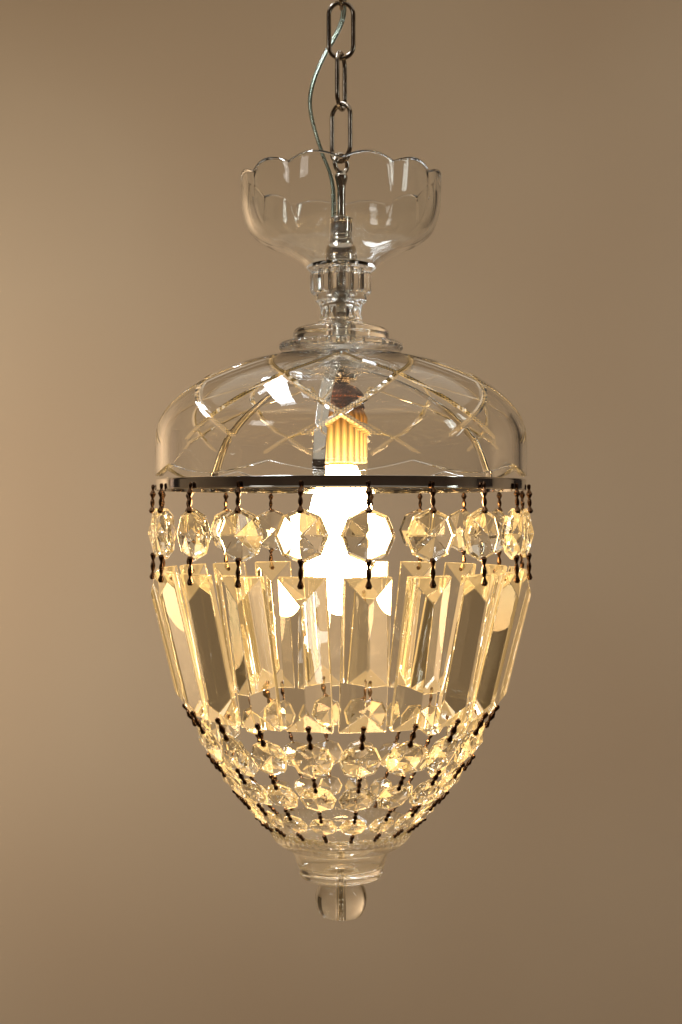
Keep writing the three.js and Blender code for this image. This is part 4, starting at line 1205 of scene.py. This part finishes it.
def bottom_dish():
    """A pressed dish in two steps, its wall carried inside at an even thickness, with fine ribs under its
    lip: r falls by 0.35 exp(-((z - rib) / 2.6)^2) (1 - lobe)."""
    low, high, radius = dish_low, dish_high, dish_radius
    step_z = high - DISH_RIM_HEIGHT
    foot_z = step_z - DISH_STEP_HEIGHT
    floor = foot_z + 2.6
    step, foot = radius - 8.8, radius - 16.3
    outside = [
        (foot - 2.6, low), (foot - 0.9, low + 0.9), (foot - 0.2, foot_z + 1), (foot + 0.8, foot_z + 4.6),
        (foot + 4.4, step_z - 1.6), (step + 1.4, step_z + 0.2), (radius - 3.4, step_z + 3.4),
        (radius - 0.7, high - 2.6), (radius, high - 0.8),
    ]
    lip = [(radius - 0.5, high), (radius - 1.8, high)]
    inside = [
        (radius - 3.2, high - 1.8), (radius - 6, step_z + 5.4), (step - 1.6, step_z + 2.4),
        (foot + 1.6, step_z - 0.6), (foot - 2.2, foot_z + 3.6), (foot - 4.4, floor),
    ]
    rows = [[(BOLT_HOLE, low)], flowing(outside, 8), lip, flowing(inside, 8), [(BOLT_HOLE, floor)]]

    def ribs(angle, r, z):
        share = np.exp(-(((z - (high - 3)) / 2.6) ** 2)) * (r > radius - 4)
        return r - 0.35 * share * (1 - lobe(angle, DISH_RIBS)), z

    turned_piece(
        "stepped_dish", np.vstack(rows), 6 * DISH_RIBS, FOOT_GLASS, "basket", "clear_glass", "bottom_dish",
        ribs, sharp=40, clear=True,
    )


def finial_ball():
    """A solid ball below a short neck: a circle from the neck to a small flat, with a bore through it."""
    low, high, radius = extent("finial_ball")
    centre = low - BALL_FLAT + radius
    neck = 9
    first = math.asin((neck - 1) / radius)
    last = math.acos(-(radius - BALL_FLAT - 0.25) / radius)
    a = np.linspace(first, last, 40)
    ball = np.stack([radius * np.sin(a), centre + radius * np.cos(a)], axis=-1)
    top = [(BOLT_HOLE, high), (neck, high), (neck + 0.5, high - 0.7), (neck - 0.6, high - 1.8)]
    rows = np.vstack([top, ball, [(ball[-1, 0] - 1.2, low), (BOLT_HOLE, low)]])
    turned_piece(
        "glass_ball", rows, 128, FOOT_GLASS, "basket", "clear_glass", "finial_ball", sharp=30, clear=True
    )


def finial_bolt():
    """A bolt with a low domed head and a thread along its shank."""
    low, high, radius = extent("finial_bolt")
    depth, pitch = 0.12, 0.8
    z = np.linspace(low, high - 2.2, 150)
    thread = np.stack([BOLT_RADIUS - depth + depth * np.cos(2 * np.pi * (z - low) / pitch), z], axis=-1)
    head = [
        (radius - 0.4, high - 2), (radius, high - 1.4), (radius * 0.8, high - 0.5), (radius * 0.4, high),
        (0, high),
    ]
    rows = np.vstack([[(0, low)], thread, head])
    turned_piece("through_bolt", rows, 40, NICKEL, "basket", "polished_nickel", "finial_bolt")


def finial_nut():
    """A low knurled nut under the ball: its radius is taken in by (1 - lobe) between the knurls."""
    low, high, radius = extent("finial_nut")
    rows = eased([(0, low), (radius * 0.6, low), (radius, low + 0.8), (radius, high), (0, high)], 0.25)

    def knurls(angle, r, z):
        return r - 0.2 * (1 - lobe(angle, NUT_KNURLS)) * (r > radius - 0.5), z

    turned_piece(
        "knurled_nut", rows, 6 * NUT_KNURLS, NICKEL, "basket", "polished_nickel", "finial_nut", knurls
    )


bottom_dish()
finial_ball()
finial_bolt()
finial_nut()
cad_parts["terminal_block"].data.materials.clear()
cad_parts["terminal_block"].data.materials.append(WHITE_PLASTIC)

# ---- Studio ----


WALL_RADIUS, WALL_TOP, WALL_BEND, FLOOR_HEIGHT = 2.0, 1.4, 0.6, -2.4  # in metres
WALL_IN_SHADE = (0.075, 0.048, 0.030, 1)


def backdrop():
    """A round backdrop that runs down into the floor: a wall, a wide fillet and a flat floor. Its paint goes
    from a painted shade, dark behind the camera, to warm and faintly clouded behind the light."""
    a = np.linspace(0, np.pi / 2, 24)
    across = WALL_RADIUS - WALL_BEND + WALL_BEND * np.sin(a)
    rows = [(0, FLOOR_HEIGHT), *zip(across, FLOOR_HEIGHT + WALL_BEND * (1 - np.cos(a)))]
    points, faces = skin(turned(np.array([*rows, (WALL_RADIUS, WALL_TOP)]) / MM, 128))
    look, shader, tree = new_look("painted_backdrop")
    paint = node(tree, "Mix")
    paint.data_type = "RGBA"
    warm = tint(tree, mottle(tree, 1.5, 1), (0.49, 0.365, 0.24), (0.52, 0.40, 0.27))
    set_sockets(paint, A=WALL_IN_SHADE, B=warm, Factor=share_along(tree, "Y", -0.9, 0.9))
    set_sockets(shader, Base_Color=paint.outputs["Result"], Roughness=0.9)
    piece = make("backdrop", [(points, faces)], look)
    piece.data.flip_normals()


def soft_light(name, place, aim, size, power, colour):
    """An area light at a place, turned to face a point, all in metres."""
    lamp = bpy.data.lights.new(name, "AREA")
    lamp.shape = "RECTANGLE"
    lamp.size, lamp.size_y = size
    lamp.energy = power
    lamp.color = colour
    holder = bpy.data.objects.new(name, lamp)
    holder.location = place
    x, y, z = np.array(place) - np.array(aim)
    holder.rotation_euler = (math.atan2(math.hypot(x, y), z), 0, math.atan2(x, -y))
    holder.visible_camera = False
    bpy.context.scene.collection.objects.link(holder)


def world_light(colour, strength):
    """An even light from all round."""
    world = bpy.data.worlds.new("room_light")
    world.use_nodes = True
    set_sockets(world.node_tree.nodes["Background"], Color=(*colour, 1), Strength=strength)
    bpy.context.scene.world = world


def dark_card(name, place, size, yaw):
    """A tall dark card, in metres, a sheet of painted shade that the glass mirrors and the camera doesn't
    see, with a slow bow across its width.
    """
    across = np.linspace(-0.5, 0.5, 9)[None, :]
    up = np.linspace(-0.5, 0.5, 5)[:, None]
    sheet = np.stack([across * size[0] + 0 * up, 0.08 * across**2 + 0 * up, up * size[1] + 0 * across], -1)
    points, faces = skin(yawed(sheet, yaw) / MM + np.array(place) / MM, joined=False)
    look, shader, tree = new_look("dark_card_cloth")
    cloth = tint(tree, mottle(tree, 8), (0.020, 0.012, 0.008), (0.045, 0.026, 0.016))
    set_sockets(shader, Base_Color=cloth, Roughness=0.8)
    card = make(name, [(points, faces)], look, sharp=0)
    card.visible_camera = False


MIDDLE = (0, 0, -0.33)  # of the whole light

backdrop()
world_light((1.0, 0.88, 0.72), 0.53)
soft_light("window_left", (-1.5, -1.3, 0.35), MIDDLE, (0.5, 0.5), 3.2, (1.0, 0.97, 0.92))
soft_light("window_right", (1.35, -0.5, 0.1), MIDDLE, (0.10, 0.5), 1.3, (0.92, 1.0, 0.94))
soft_light("skylight", (-0.5, 0.0, 0.9), (-0.03, -0.08, -0.27), (1.2, 0.18), 18, (0.86, 0.93, 1.0))
soft_light("wall_wash", (-1.25, 0.7, -0.35), (-0.85, 2.0, -0.40), (0.25, 0.6), 16, (1.0, 0.88, 0.74))
dark_card("dark_card_right", (1.25, 1.25, -0.35), (0.5, 1.3), -45)
dark_card("dark_card_left", (-1.45, 0.75, -0.55), (0.35, 1.1), 60)
dark_card("dark_card_far_right", (1.7, 0.1, -0.2), (0.45, 1.2), -90)

scene = bpy.context.scene
scene.view_settings.view_transform = "Standard"
scene.cycles.max_bounces = 24
scene.cycles.transmission_bounces = 24
scene.cycles.glossy_bounces = 12
scene.cycles.transparent_max_bounces = 16
scene.cycles.caustics_reflective = False
scene.cycles.caustics_refractive = False
